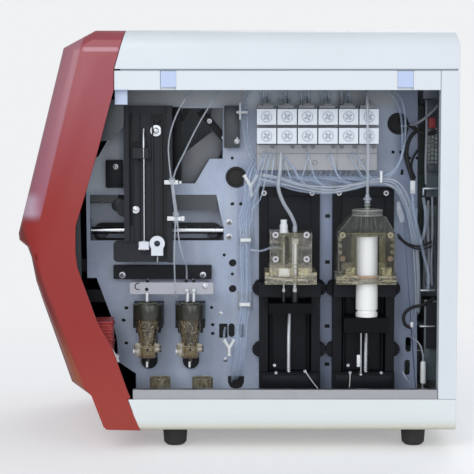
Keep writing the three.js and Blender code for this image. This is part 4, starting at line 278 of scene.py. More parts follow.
def smoked_block(name, slot):
    """The pumps' clear blocks: open bores, olive walls, streaked flange, grey cone, white cap; with
    painted sparkle, a painted glow at the screw seats, painted highlight lines in the flange's pale
    streaks and over the wide plunger, and the white nut painted onto the face as if lit.
    """
    finish = Finish(name, slot, Metallic=0.0, Specular_IOR_Level=0.6, Coat_Roughness=0.04)
    across, height = finish.axis("X"), finish.axis("Z")
    small = 1 - across.step(0.09, 0.1)
    flange = 1 - height.step(0.1795, 0.1805)
    screws = between(across, 0.116, 0.124, 0.002) + between(across, 0.155, 0.163, 0.002)
    seats = between(height, 0.1815, 0.1885, 0.0015) * (screws + small)
    cone = height.step(0.2258, 0.227)
    rim = height.step(0.2432, 0.2438)
    cap = height.step(0.2256, 0.226) * (1 - across.step(0.0552, 0.0558))
    nut = between(across, 0.0446, 0.0554, 0.0004) * between(height, 0.18, 0.1875, 0.0005)
    top = 0.2214 - small * 0.0074
    bores = between(across, 0.128, 0.1502, 0.0006) + between(across, 0.0592, 0.0648, 0.0004)
    bore = bores * (1 - height.step(top, top + 0.0006))
    lined = between(across, 0.0440, 0.0680, 0.0008) + between(across, 0.1215, 0.1567, 0.0012)
    lining = lined.clamped(0.0, 1.0)
    upright = finish.noise(240, 4, 0.7, finish.stretched((1.6, 1, 0.3))).step(0.44, 0.66)
    level = finish.noise(300, 4, 0.7, finish.stretched((0.16, 1, 1.6))).step(0.44, 0.6)
    spots = finish.noise(150, 4, 0.7).step(0.46, 0.6)
    # Painted sparkle, with more of it low down.
    painted_sparkle = finish.noise(640, 3, 0.65).step(0.58, 0.64)
    painted_sparkle_low = 1 - height.step(0.18, 0.215)
    dark_clear = finish.mixed(upright * 0.6, linear(70, 67, 58), linear(108, 102, 78))
    pale_clear = finish.mixed(level * 0.7 + upright * 0.3, linear(104, 104, 98),
                              linear(178, 168, 160))
    clear = finish.mixed(small, dark_clear, pale_clear)
    olive = finish.mixed(lining * (0.35 + upright * 0.4), clear, linear(126, 121, 72))
    seam = between(across, 0.0512, 0.0548, 0.0008) * between(height, 0.189, 0.221, 0.002)
    creased = finish.mixed(seam * (0.5 + upright * 0.4), olive, linear(52, 50, 28))
    # A painted glow at the screw seats.
    seated = finish.mixed(seats * (0.3 + spots * 0.6), creased, linear(208, 198, 148))
    # The flange's pale streaks are painted highlight lines.
    streaked = finish.mixed(level, linear(88, 84, 70), linear(186, 180, 160))
    body = finish.mixed(flange, seated, streaked)
    lit = finish.mixed(painted_sparkle * (0.15 + painted_sparkle_low * 0.3), body, linear(240, 236, 218))
    cone_grey = finish.mixed(upright, linear(108, 112, 108), linear(150, 152, 146))
    cleared = finish.mixed(cone, lit, cone_grey)
    rimmed = finish.mixed(rim, cleared, linear(156, 160, 156))
    # A painted highlight line down the wide plunger's bore.
    gleam = (small * between(across, 0.0588, 0.065, 0.0006)
             * between(height, 0.187, 0.2192, 0.0008))
    # The white nut painted onto the face as if lit, and the painted highlight line.
    shining = finish.mixed((nut + gleam * 0.5).clamped(0.0, 1.0), rimmed, linear(244, 243, 228))
    finish.set("Base Color", finish.mixed(cap, shining, linear(240, 243, 244)))
    finish.set("Roughness", 0.08 + upright * 0.1)
    finish.set("Coat Weight", 0.3)
    edge = finish.facing(0.3) ** 2
    walls = (0.25 + small * (0.08 + level * 0.1) + lining * (0.18 - small * 0.2)
             + upright * 0.08 + seats * 0.24 + flange * 0.36 + painted_sparkle * 0.12 + edge * 0.26)
    hollow = (bore + nut).clamped(0.0, 1.0) * (1 - flange * 0.45)
    open_bore = (walls * (1 - hollow * 0.95) * (1 - seam * 0.34) + nut * 0.46
                 + gleam * (0.04 + height.step(0.2136, 0.214) * 0.04))
    upper = open_bore * (1 - cone) + cone * (0.27 + edge * 0.36)
    finish.set("Alpha", (upper + cap).clamped(0.0, 1.0))
    finish.bump(finish.noise(160, 3), 0.0001)
    return finish


def rod_plastic(name, slot):
    """The small pump's plungers: a painted highlight line down each middle, duller sides, a black
    foot.
    """
    finish = moulded(name, slot, linear(224, 228, 232), roughness=0.3, grain=0.5, coat=0.1,
                     mottling=0.03)
    across, height = finish.axis("X"), finish.axis("Z")
    # A painted highlight line down the middle of each rod.
    line = between(across, 0.0617, 0.0631, 0.0006) + between(across, 0.0493, 0.0499, 0.0004)
    barrel = finish.mixed(line, linear(206, 206, 198), linear(255, 255, 252))
    above = finish.mixed(height.step(0.17, 0.172), linear(226, 230, 234), barrel)
    finish.set("Base Color", finish.mixed(height.step(0.1608, 0.1616), linear(26, 27, 32), above))
    return finish


def bath_plastic(name, slot, dark, pale, painted_glint_colour, alpha=0.7):
    """Clear vessels: olive black in the collar, streaked light and dark below it, with painted
    glints.
    """
    finish = Finish(name, slot, Metallic=0.0, Specular_IOR_Level=0.6, Coat_Roughness=0.05)
    upper = finish.axis("Z").step(0.129, 0.132)
    ribs = finish.noise(230, 4, 0.65, finish.stretched((1, 1, 0.28))).step(0.4, 0.66)
    # Painted glints of light.
    painted_glints = finish.noise(520, 3, 0.65).step(0.58, 0.64)
    streaked = finish.mixed(ribs, dark, pale)
    lit = finish.mixed(painted_glints * 0.7, streaked, painted_glint_colour)
    finish.set("Base Color", finish.mixed(upper, lit, linear(58, 58, 50)))
    finish.set("Roughness", 0.14 + ribs * 0.16)
    finish.set("Coat Weight", 0.35)
    density = alpha + ribs * 0.16 + upper * 0.1 + finish.facing(0.35) * 0.3
    finish.set("Alpha", density.clamped(0.0, 1.0))
    finish.bump(ribs * 0.5 + finish.noise(90, 2), 0.0003)
    return finish


def nose_red(name, slot, colour):
    """The red shell, with light and shade painted in: a cool painted sheen on the upper facet and
    the side's upper half, deep red painted shade on the lower facet, lighter low on the sides, a
    painted highlight near the nose and a painted highlight streak along the top.
    """
    finish = moulded(name, slot, colour, grain=0.8, coat=0.1, mottling=0.05, shine=0.35)
    across, height = finish.axis("X"), finish.axis("Z")
    high = height.step(0.236, 0.25)
    upper_line = across - (height - 0.2427) * 0.2445 + 0.2038
    lower_line = across + (height - 0.1645) * 0.3763 + 0.1963
    upper_facet = (1 - upper_line.step(-0.0015, 0.001)) * high
    facet = upper_facet + (1 - lower_line.step(-0.003, 0.003)) * (1 - high)
    low_side = finish.mixed(height.step(0.03, 0.14), linear(156, 54, 44), colour)
    # The side turns pinker towards its top: painted sheen.
    side = finish.mixed(height.step(0.24, 0.4), low_side, linear(157, 72, 82))
    # The upper facet's colours: painted sheen.
    upper = finish.mixed(height.step(0.24, 0.4), linear(160, 98, 116), linear(170, 114, 126))
    # A painted highlight near the nose's point.
    painted_nose_highlight = between(height, 0.24, 0.262, 0.012) * (1 - across.step(-0.215, -0.2))
    # The lower facet in painted shade, painted lighter low on the sides.
    beside = finish.axis("Y").math("ABSOLUTE").step(0.15, 0.162)
    sunlit = beside * (1 - height.step(0.075, 0.15))
    lower = finish.mixed(sunlit, linear(116, 40, 39), linear(150, 84, 60))
    cloud = finish.noise(16, 3) * 0.12 + 0.9
    lit = finish.mixed(painted_nose_highlight * 0.7, upper, linear(204, 184, 204))
    shown = finish.mixed(facet * cloud, side, finish.mixed(high, lower, lit))
    # A painted highlight streak along the top edge.
    painted_top_streak = between(height, 0.4168, 0.4196, 0.0016) * between(across, -0.156, -0.124, 0.004)
    finish.set("Base Color", finish.mixed(painted_top_streak * 0.6, shown, linear(206, 158, 170)))
    return finish


def plate_coat(name, slot, colour):
    """The mid plate's coat: cloudy, with faint streaks and handling marks; painted shade under the
    rail, between the pumps, behind the tubes and towards its rear edge, and painted light behind
    the valves and beside the red shell.
    """
    finish = powder_coat(name, slot, colour, peel=0.7)
    clouds = finish.noise(22, 4, 0.6).step(0.3, 0.7)
    streaks = finish.noise(60, 4, 0.65, finish.stretched((1, 1, 0.25))).step(0.45, 0.75)
    across, height = finish.axis("X"), finish.axis("Z")
    cloudy = finish.mixed(clouds, shade(colour, 0.84), shade(colour, 1.08))
    worn = finish.mixed(streaks * 0.35, cloudy, linear(196, 204, 216))
    # Painted shade under the rail.
    painted_rail_shade = finish.mixed(height.step(0.352, 0.366), worn, linear(176, 181, 188))
    # Painted shade between the pumps, behind the tubes and towards the rear edge.
    between_pumps = between(across, 0.09, 0.107, 0.003) * (1 - height.step(0.262, 0.272))
    behind_tubes = between(across, 0.002, 0.017, 0.004) * between(height, 0.18, 0.29, 0.02) * 0.6
    shaded = (between_pumps + across.step(0.168, 0.178) + behind_tubes).clamped(0.0, 1.0)
    # Painted light behind the valves and beside the red shell.
    behind_valves = between(across, 0.012, 0.106, 0.006) * height.step(0.352, 0.366)
    beside_nose = (1 - across.step(-0.131, -0.124)) * between(height, 0.272, 0.345, 0.01)
    painted_lighter = (behind_valves + beside_nose * 0.7).clamped(0.0, 1.0)
    plain = finish.mixed(shaded, painted_rail_shade, linear(136, 149, 178))
    finish.set("Base Color", finish.mixed(painted_lighter, plain, linear(216, 223, 234)))
    return finish


def skirted_coat(name, slot, colour, painted_reflection_colour):
    """The tray's powder coat, with a warm painted reflection towards its lower roll."""
    finish = powder_coat(name, slot, colour, peel=0.8)
    # A painted warm reflection on the lower roll.
    lower = 1 - finish.axis("Z").step(0.021, 0.034)
    clouds = 0.8 + finish.noise(9, 3) * 0.4
    finish.set("Base Color", finish.mixed(lower * clouds, colour, painted_reflection_colour))
    return finish


def rail_coat(name, slot, colour, tab_colour):
    """The rail's powder coat, bluer on the notched tab beside the red shell."""
    finish = powder_coat(name, slot, colour)
    tab = (1 - finish.axis("X").step(-0.113, -0.111)) * (1 - finish.axis("Z").step(0.376, 0.379))
    cloudy = tab * (0.8 + finish.noise(60) * 0.3)
    finish.set("Base Color", finish.mixed(cloudy, colour, tab_colour))
    return finish


def screen_glass(name, slot):
    """Dark glass with faint smears, a little lighter over the unlit picture."""
    finish = Finish(name, slot, Metallic=0.0, IOR=1.5, Coat_Roughness=0.03)
    across, height = finish.axis("Y"), finish.axis("Z")
    picture = between(across, -0.1035, 0.1035, 0.0004) * between(height, 0.2606, 0.385, 0.0004)
    screen = finish.mixed(finish.noise(9, 2), linear(20, 26, 34), linear(28, 34, 44))
    finish.set("Base Color", finish.mixed(picture, linear(9, 10, 13), screen))
    finish.set("Roughness", 0.05 + finish.noise(240, 4, 0.7).step(0.55, 0.8) * 0.12)
    finish.set("Coat Weight", 0.6)
    return finish


def rubber(name, slot, colour):
    """Black rubber with a bloom of pale dust."""
    finish = Finish(name, slot, Metallic=0.0)
    dust = finish.noise(160, 4, 0.65).step(0.5, 0.8)
    finish.set("Base Color", finish.mixed(dust * 0.5, colour, shade(colour, 2.4)))
    finish.set("Roughness", 0.72 + dust * 0.14)
    finish.bump(finish.noise(900, 3, 0.6), 0.00012)
    return finish


WHITE = powder_coat("white powder coat", "white_paint", linear(222, 229, 236))
TRAY_WHITE = skirted_coat("tray powder coat", "white_paint", linear(226, 232, 234),
                          linear(212, 208, 188))
RED = nose_red("red moulded shell", "red_plastic", linear(150, 42, 39))
POCKET_RED = moulded("red pocket moulding", "red_plastic", linear(176, 58, 56), roughness=0.4)
BLACK = moulded("black moulded plastic", "black_plastic", linear(27, 28, 34), roughness=0.46,
                mottling=0.1, shine=0.22)
BLACK_COAT = powder_coat("black sheet coat", "black_paint", linear(24, 25, 29), peel=1.2, coat=0.0,
                         shine=0.2)
ANODISED = powder_coat("black anodised plate", "black_anodised", linear(20, 22, 28), peel=0.6,
                       coat=0.0, shine=0.16)
CARRIAGE_BLACK = powder_coat("dull black nut block", "black_anodised", linear(12, 13, 17), peel=0.6,
                             coat=0.0, shine=0.1)
GUIDE_BLACK = moulded("black guide plastic", "black_plastic", linear(39, 41, 48), roughness=0.44,
                      mottling=0.14, shine=0.25)
PLATE = plate_coat("mid plate coat", "plate_paint", linear(172, 185, 210))
STEEL = metal("ground steel", "bare_steel", linear(196, 199, 205), roughness=0.24, brush=(1, 1, 40))
ROD_STEEL = metal("polished guide rod", "bare_steel", linear(205, 208, 214), roughness=0.12,
                  brush=(40, 1, 1), depth=0.5)
ALUMINIUM = metal("brushed aluminium", "bare_aluminium", linear(186, 190, 199), roughness=0.34,
                  brush=(1, 40, 40))
PLUNGER_WHITE = moulded("white plunger", "light_plastic", linear(246, 248, 247), roughness=0.3,
                        grain=0.5, coat=0.15, mottling=0.02)
IVORY = moulded("pale moulded plastic", "light_plastic", linear(222, 228, 238), roughness=0.3,
                grain=0.5, coat=0.15, mottling=0.03)
SMOKED = smoked_block("smoked clear plastic", "clear_amber")
BATH_CLEAR = bath_plastic("bath clear plastic", "clear_amber", linear(50, 46, 37),
                          linear(112, 104, 84), linear(214, 204, 180))
RUBBER = rubber("black rubber", "rubber_black", linear(40, 39, 40))
BEAM_GREY = powder_coat("grey beam", "bare_aluminium", linear(186, 195, 216), coat=0.1)
RAIL_WHITE = rail_coat("rail powder coat", "white_paint", linear(222, 229, 236),
                       linear(192, 205, 232))
SILL_GREY = metal("brushed sill", "bare_steel", linear(166, 167, 171), brush=(1, 1, 40))
CUP_CLEAR = bath_plastic("cup clear plastic", "clear_amber", linear(96, 90, 74),
                         linear(142, 136, 120), linear(206, 200, 184), alpha=0.6)
BAR_GREY = powder_coat("grey rinse bar", "bare_aluminium", linear(176, 178, 188), coat=0.1)
DARK_STEEL = metal("dark steel", "bare_steel", linear(70, 72, 80), roughness=0.4)
INNER_BLACK = moulded("black inner lining", "red_plastic", linear(26, 27, 31), roughness=0.6,
                      mottling=0.1, shine=0.15)
SIDE_BOARD = moulded("grey green board", "board_green", linear(72, 84, 90), roughness=0.36,
                     grain=0.3, coat=0.2, mottling=0.3)
STRIP_PALE = powder_coat("grey strip sheet", "plate_paint", linear(116, 120, 132), peel=0.8)
STRIP_GREY = moulded("dark grey board blocks", "black_plastic", linear(52, 56, 66), roughness=0.45)
BOARD = moulded("solder mask green", "board_green", linear(30, 54, 48), roughness=0.32, grain=0.3,
                coat=0.2)
GLASS = screen_glass("dark display glass", "dark_glass")


# Finishes of the fine pieces

ENGRAVED = moulded("engraved grey", "light_plastic", linear(176, 184, 196), roughness=0.42,
                   grain=0.6)
SEAM_GREY = moulded("grey seams", "light_plastic", linear(130, 132, 138), roughness=0.4)
COIL_GREY = moulded("dark coil ends", "black_plastic", linear(146, 148, 154), roughness=0.45)
MANIFOLD_CLEAR = moulded("frosted manifold", "light_plastic", linear(153, 155, 160), roughness=0.3,
                         grain=0.6, coat=0.3, mottling=0.1)
# Pale amber: painted highlights along the clear blocks' edges and the cups' rims, and the inserts
# seen through the blocks.
SMOKED_EDGE = clear_plastic("lit amber edge", "clear_amber", linear(196, 188, 148), alpha=0.3,
                            edge=linear(150, 140, 96))
AMBER = clear_plastic("amber clear plastic", "clear_amber", linear(132, 115, 82), alpha=0.6,
                      edge=linear(84, 72, 48))
BRASS = metal("copper screws", "bare_steel", linear(128, 111, 96), roughness=0.5, brush=(1, 1, 20))
PALE_BRASS = metal("pale brass screws", "bare_steel", linear(172, 166, 144), roughness=0.46,
                   brush=(1, 1, 20))
SCREW_STEEL = metal("screw steel", "bare_steel", linear(206, 204, 208), roughness=0.36,
                    brush=(1, 1, 20))
# Screw sockets: dark hexes of painted shade set in the screws' sockets.
SOCKET_GREY = moulded("screw sockets", "bare_steel", linear(112, 104, 112), roughness=0.5)
SOCKET_TAN = moulded("tan screw sockets", "bare_steel", linear(110, 99, 84), roughness=0.6)
# Pale clear: painted highlights on the large pump's disc rims and cone lines.
CLEAR_RIM = clear_plastic("clear rims", "clear_amber", linear(206, 210, 204), alpha=0.5,
                          edge=linear(226, 228, 222))
CLEAR_TUBE = clear_plastic("clear tube", "hose_clear", linear(196, 213, 238), alpha=0.25,
                           edge=linear(182, 201, 229), roughness=0.08)
MILKY_TUBE = clear_plastic("milky tube", "hose_clear", linear(206, 214, 226), alpha=0.42,
                           edge=linear(176, 186, 202), roughness=0.16)
CABLE = rubber("black cable", "rubber_black", linear(24, 25, 28))
GREY_CABLE = moulded("grey cable", "rubber_black", linear(132, 136, 146), roughness=0.45)
SEAL_GREY = moulded("grey cover seal", "rubber_black", linear(150, 158, 168), roughness=0.5)
# Painted shade: near-black discs and slabs that stand in for the shade inside holes, slots and
# gaps.
HOLE_SHADE = rubber("dark hole", "rubber_black", linear(12, 12, 16))
WHITE_NYLON = moulded("white nylon", "light_plastic", linear(228, 232, 236), roughness=0.4,
                      grain=0.6, mottling=0.03)
ORANGE_SEAL = moulded("orange seal", "clear_amber", linear(216, 176, 156), roughness=0.4)
TIPPED_IVORY = rod_plastic("pale plunger with dark foot", "light_plastic")
COLLAR_OLIVE = moulded("olive black collar", "black_plastic", linear(46, 47, 40), roughness=0.26,
                       grain=0.6, coat=0.3, mottling=0.4)
RIM_OLIVE = moulded("olive grey rims", "black_plastic", linear(104, 108, 92), roughness=0.3,
                    grain=0.6, coat=0.2, mottling=0.1)
CLEAR_BLOCK = clear_plastic("clear fitting block", "clear_amber", linear(178, 168, 146), alpha=0.42,
                            edge=linear(206, 198, 178), roughness=0.1)
STATUS_GREEN = moulded("green status light", "light_plastic", linear(128, 214, 150), roughness=0.25,
                       grain=0.2, coat=0.5)
PLUG_RED = moulded("red plug", "red_plastic", linear(140, 44, 48), roughness=0.36)
PIN_GREY = moulded("grey coil pins", "light_plastic", linear(176, 180, 184), roughness=0.4)
PART_GREY = moulded("grey board parts", "light_plastic", linear(128, 134, 132), roughness=0.4)
# Painted shade: the grey sheet in the gap beside the red shell.
GAP_SHADE_GREY = powder_coat("dark grey gap shade", "plate_paint", linear(66, 72, 76), peel=0.8)
GREY_SHEET = powder_coat("grey inner sheet", "plate_paint", linear(98, 101, 108), peel=0.8)
DARK_SHEET = powder_coat("dark inner sheet", "black_paint", linear(70, 75, 80), peel=0.8, coat=0.1)
FILM_BLUE = powder_coat("pale blue film", "white_paint", linear(190, 206, 240), peel=0.3)


# Meshes


def soften_faces(bm, angle):
    """Smooth faces, with the edges past the angle kept sharp."""
    limit = math.radians(angle)
    for face in bm.faces:
        face.smooth = True
    for edge in bm.edges:
        if len(edge.link_faces) == 2 and edge.calc_face_angle(0) > limit:
            edge.smooth = False


def mesh_of(name, bm, angle):
    """The bmesh as a mesh of that name; the bmesh is used up."""
    soften_faces(bm, angle)
    mesh = bpy.data.meshes.new(name)
    bm.to_mesh(mesh)
    bm.free()
    return mesh


def finished(name, mesh, finish, body, replaces=()):
    """The object for a mesh, with its finish, its body and the nodes that it stands for."""
    made = bpy.data.objects.new(name, mesh)
    bpy.context.scene.collection.objects.link(made)
    if not mesh.materials:
        mesh.materials.append(finish.material)
    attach(made, body)
    if replaces:
        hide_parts(*replaces)
    return made


def shaped(name, finish, body, maker, replaces=(), angle=SHARP_ANGLE):
    """A piece whose mesh a maker function fills, in metres."""
    bm = bmesh.new()
    maker(bm)
    return finished(name, mesh_of(name, bm, angle), finish, body, replaces)


def piece_in(finish, body="cabinet", replaces=()):
    """Makes the piece that is named as the maker below this line."""
    def make(maker):
        shaped(maker.__name__, finish, body, maker, replaces)
        return maker
    return make


def merged(node):
    """A bmesh of the node's own shape, with its doubles merged and its flat faces joined."""
    bm = bmesh.new()
    bm.from_mesh(frame["nodes"][node].data)
    bmesh.ops.remove_doubles(bm, verts=bm.verts, dist=0.002 * MM)
    flat = math.radians(0.6)
    bmesh.ops.dissolve_limit(bm, angle_limit=flat, verts=bm.verts, edges=bm.edges)
    return bm


def round_edges(made, width):
    edge = made.modifiers.new("edges", "BEVEL")
    edge.width = width * MM
    edge.segments = 2
    edge.limit_method = "ANGLE"
    edge.angle_limit = math.radians(SHARP_ANGLE)
    edge.harden_normals = True


def tighter_roll(bm):
    """The tray's lower roll, drawn in from 20 to 7 mm as the photograph shows it."""
    old_y, old_z, new_y, new_z = 145, 41.2, 158, 28.2
    for vert in bm.verts:
        y, z = abs(vert.co.y) / MM - old_y, vert.co.z / MM - old_z
        if y > -0.05 and z < 0.05:
            reach = math.hypot(y, z)
            share = (reach - (new_y - old_y)) / reach
            vert.co.y = math.copysign((new_y + y * share) * MM, vert.co.y)
            vert.co.z = (new_z + z * share) * MM


def thinner_hose(bm):
    """The hoses' walls drawn in by 0.6 mm."""
    bm.normal_update()
    moves = [(vert, vert.normal * 0.6 * MM) for vert in bm.verts]
    for vert, move in moves:
        vert.co -= move


def sunk_face(axis, face):
    """The sheet's outer face drawn in, so that screw heads on it stay within the object's box."""
    def move(bm):
        for vert in bm.verts:
            if vert.co[axis] / MM > face - 0.1:
                vert.co[axis] = (face - HEAD_ROOM) * MM
    return move


RESHAPED = {
    "base_tray": tighter_roll,
    "sampler_tubes": thinner_hose,
    "rear_panel": sunk_face(0, REAR_X),
    "far_side_cover": sunk_face(1, FAR_Y),
}


def refined(node, finish, bevel):
    """The node's own shape, merged, with its sharp edges rounded as on the real piece."""
    bm = merged(node)
    if node in RESHAPED:
        RESHAPED[node](bm)
    name = node + "_made"
    made = finished(name, mesh_of(name, bm, SHARP_ANGLE), finish, BODY_OF[node], (node,))
    if bevel:
        round_edges(made, bevel)


def corners(node):
    """The node's lowest and highest corners, in millimetres."""
    low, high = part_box(node)
    return Vector(low) / MM, Vector(high) / MM


def middle_of(node):
    return [(low + high) / 2 for low, high in zip(*corners(node))]


# Forms that pieces are put together from, in millimetres


def place_of(point):
    return Vector(point) * MM


def blunt(bm, verts, bevel, segments=2):
    """Rounds every edge that meets the verts."""
    if bevel:
        edges = list(dict.fromkeys(edge for vert in verts for edge in vert.link_edges))
        bmesh.ops.bevel(bm, geom=edges, offset=bevel * MM, segments=segments, profile=0.5,
                        affect="EDGES", clamp_overlap=True)


def block(bm, low, high, bevel=0.0, segments=2):
    low, high = Vector(low), Vector(high)
    size = Matrix.Diagonal((*((high - low) * MM), 1))
    matrix = Matrix.Translation((low + high) / 2 * MM) @ size
    verts = bmesh.ops.create_cube(bm, size=1, matrix=matrix)["verts"]
    blunt(bm, verts, bevel, segments)


def basis(direction):
    """The direction and two more at right angles to it."""
    along = Vector(direction).normalized()
    other = Vector(UP) if abs(along.z) < 0.9 else Vector(TO_REAR)
    side = along.cross(other).normalized()
    return along, side, along.cross(side)


def hex_reach(turn):
    """How far a hexagon reaches at a turn from its corner, which is at 1."""
    half_side = math.pi / 6
    return math.cos(half_side) / math.cos((turn + half_side) % (2 * half_side) - half_side)


def ring_of(bm, middle, side, up, radius, sides, hexagon=False):
    ring_verts = []
    for i in range(sides):
        turn = 2 * math.pi * i / sides
        length = radius * hex_reach(turn) if hexagon else radius
        point = middle + (side * math.cos(turn) + up * math.sin(turn)) * length
        ring_verts.append(bm.verts.new(place_of(point)))
    return ring_verts


def skin_rings(bm, rings):
    """A closed skin over rings of verts; a ring of one vert is a tip."""
    first_face = len(bm.faces)
    for first, second in zip(rings, rings[1:]):
        count = max(len(first), len(second))
        for i in range(count):
            j = (i + 1) % count
            if len(first) == 1:
                bm.faces.new((first[0], second[j], second[i]))
            elif len(second) == 1:
                bm.faces.new((first[i], first[j], second[0]))
            else:
                bm.faces.new((first[i], first[j], second[j], second[i]))
    bm.faces.ensure_lookup_table()
    made = bm.faces[first_face:]
    for end in (rings[0], rings[-1]):
        if len(end) > 1:
            made.append(bm.faces.new(end))
    bmesh.ops.recalc_face_normals(bm, faces=made)


def lathe(bm, profile, centre, direction=TO_OPEN_SIDE, sides=24, hexed=()):
    """A turned form; the profile gives (radius, distance along), hexed rings are hexagons."""
    along, side, up = basis(direction)
    rings = []
    for index, (radius, reach) in enumerate(profile):
        middle = Vector(centre) + along * reach
        if radius > 0:
            rings.append(ring_of(bm, middle, side, up, radius, sides, index in hexed))
        else:
            rings.append([bm.verts.new(place_of(middle))])
    skin_rings(bm, rings)


def smooth_path(points, per_span):
    """A curve through the points, with so many steps between two of them."""
    points = [Vector(point) for point in points]
    ends = [points[0] * 2 - points[1], *points, points[-1] * 2 - points[-2]]
    path = []
    for a, b, c, d in zip(ends, ends[1:], ends[2:], ends[3:]):
        bend, twist = 2 * a - 5 * b + 4 * c - d, 3 * b - a - 3 * c + d
        for step in range(per_span):
            t = step / per_span
            path.append(0.5 * (2 * b + (c - a) * t + bend * t * t + twist * t ** 3))
    path.append(points[-1])
    return path


def sweep(bm, points, radius, sides=10, per_span=6):
    """A round strand along a smooth path, or along straight lines where per_span is 0."""
    path = smooth_path(points, per_span) if per_span else [Vector(point) for point in points]
    side = basis(path[1] - path[0])[1]
    rings = []
    for index, point in enumerate(path):
        ahead = path[min(index + 1, len(path) - 1)] - path[max(index - 1, 0)]
        ahead.normalize()
        side = (side - ahead * side.dot(ahead)).normalized()
        rings.append(ring_of(bm, point, side, ahead.cross(side), radius, sides))
    skin_rings(bm, rings)


def bar(bm, points, radius, sides=8):
    """A round bar along straight lines."""
    sweep(bm, points, radius, sides, per_span=0)


def slab(bm, outline, axis, start, end, bevel=0.0):
    """An outline in the two other axes, in X Y Z order, made thick along the axis."""
    def point(a, b, c):
        return {"X": (c, a, b), "Y": (a, c, b), "Z": (a, b, c)}[axis]
    low = [bm.verts.new(place_of(point(a, b, start))) for a, b in outline]
    high = [bm.verts.new(place_of(point(a, b, end))) for a, b in outline]
    faces = [bm.faces.new(low), bm.faces.new(high)]
    for i in range(len(outline)):
        j = (i + 1) % len(outline)
        faces.append(bm.faces.new((low[i], low[j], high[j], high[i])))
    bmesh.ops.recalc_face_normals(bm, faces=faces)
    blunt(bm, low + high, bevel)


def around(radius, spans, start=0.0, end=2.0):
    """Points on a circle round 0, from start to end in half turns."""
    turns = [math.pi * (start + (end - start) * i / spans) for i in range(spans + 1)]
    return [(radius * math.cos(turn), radius * math.sin(turn)) for turn in turns]


def hoop(bm, centre, radius, wire, spans):
    """A level ring of wire."""
    x, y, z = centre
    bar(bm, [(x + dx, y + dy, z) for dx, dy in around(radius, spans)], wire)


def rounded(a0, a1, b0, b1, radius, steps=5):
    """A rectangle's outline with round corners."""
    outline = []
    for corner, (a, b) in enumerate(((a1, b1), (a0, b1), (a0, b0), (a1, b0))):
        a += -radius if a == a1 else radius
        b += -radius if b == b1 else radius
        for step in range(steps + 1):
            turn = math.pi / 2 * (corner + step / steps)
            outline.append((a + radius * math.cos(turn), b + radius * math.sin(turn)))
    return outline


def repeat_tree(source, finish, axis):
    """Sets the source on every point, spun about the axis by a share of a turn, at a size."""
    tree = bpy.data.node_groups.new("set on points", "GeometryNodeTree")

    def socket(name, kind, direction="INPUT"):
        return tree.interface.new_socket(name=name, in_out=direction, socket_type=kind).identifier

    socket("Geometry", "NodeSocketGeometry")
    kinds = {"Size": "NodeSocketFloat", "Turn": "NodeSocketFloat", "Seed": "NodeSocketInt"}
    keys = {name: socket(name, kind) for name, kind in kinds.items()}
    socket("Geometry", "NodeSocketGeometry", "OUTPUT")
    add, link = tree.nodes.new, tree.links.new
    given, result = add("NodeGroupInput"), add("NodeGroupOutput")
    thing = add("GeometryNodeObjectInfo")
    thing.inputs["Object"].default_value = source
    spin = add("FunctionNodeRandomValue")
    spin.data_type = "FLOAT"
    angle = add("ShaderNodeMath")
    angle.operation = "MULTIPLY"
    turn = add("ShaderNodeVectorMath")
    turn.operation = "SCALE"
    turn.inputs[0].default_value = axis
    link(given.outputs["Seed"], spin.inputs["Seed"])
    link(next(s for s in spin.outputs if s.type == "VALUE"), angle.inputs[0])
    link(given.outputs["Turn"], angle.inputs[1])
    link(angle.outputs[0], turn.inputs["Scale"])
    put = add("GeometryNodeInstanceOnPoints")
    link(given.outputs["Geometry"], put.inputs["Points"])
    link(thing.outputs["Geometry"], put.inputs["Instance"])
    link(turn.outputs[0], put.inputs["Rotation"])
    link(given.outputs["Size"], put.inputs["Scale"])
    real, paint = add("GeometryNodeRealizeInstances"), add("GeometryNodeSetMaterial")
    paint.inputs["Material"].default_value = finish.material
    link(put.outputs[0], real.inputs[0])
    link(real.outputs[0], paint.inputs[0])
    link(paint.outputs[0], result.inputs[0])
    return tree, keys


def repeated(name, form, finish, places, turn=0.0, axis=TO_FAR_SIDE, seed=1, body="cabinet"):
    """A form made at the origin and set on every place by Geometry Nodes, as one plain mesh."""
    bm = bmesh.new()
    form(bm)
    source = bpy.data.objects.new(name + "_form", mesh_of(name + "_form", bm, SHARP_ANGLE))
    points = bpy.data.meshes.new(name + "_points")
    points.from_pydata([place_of(place) for place in places], [], [])
    carrier = bpy.data.objects.new(name + "_points", points)
    bpy.context.scene.collection.objects.link(source)
    bpy.context.scene.collection.objects.link(carrier)
    tree, keys = repeat_tree(source, finish, axis)
    modifier = carrier.modifiers.new("repeat", "NODES")
    modifier.node_group = tree
    for key, value in (("Size", 1.0), ("Turn", turn), ("Seed", seed)):
        modifier[keys[key]] = value
    bpy.context.view_layer.update()
    evaluated = carrier.evaluated_get(bpy.context.evaluated_depsgraph_get())
    result = bpy.data.meshes.new_from_object(evaluated)
    result.name = name
    carrier.modifiers.remove(modifier)
    for spare in (source, carrier):
        bpy.data.objects.remove(spare)
    finished(name, result, finish, body)


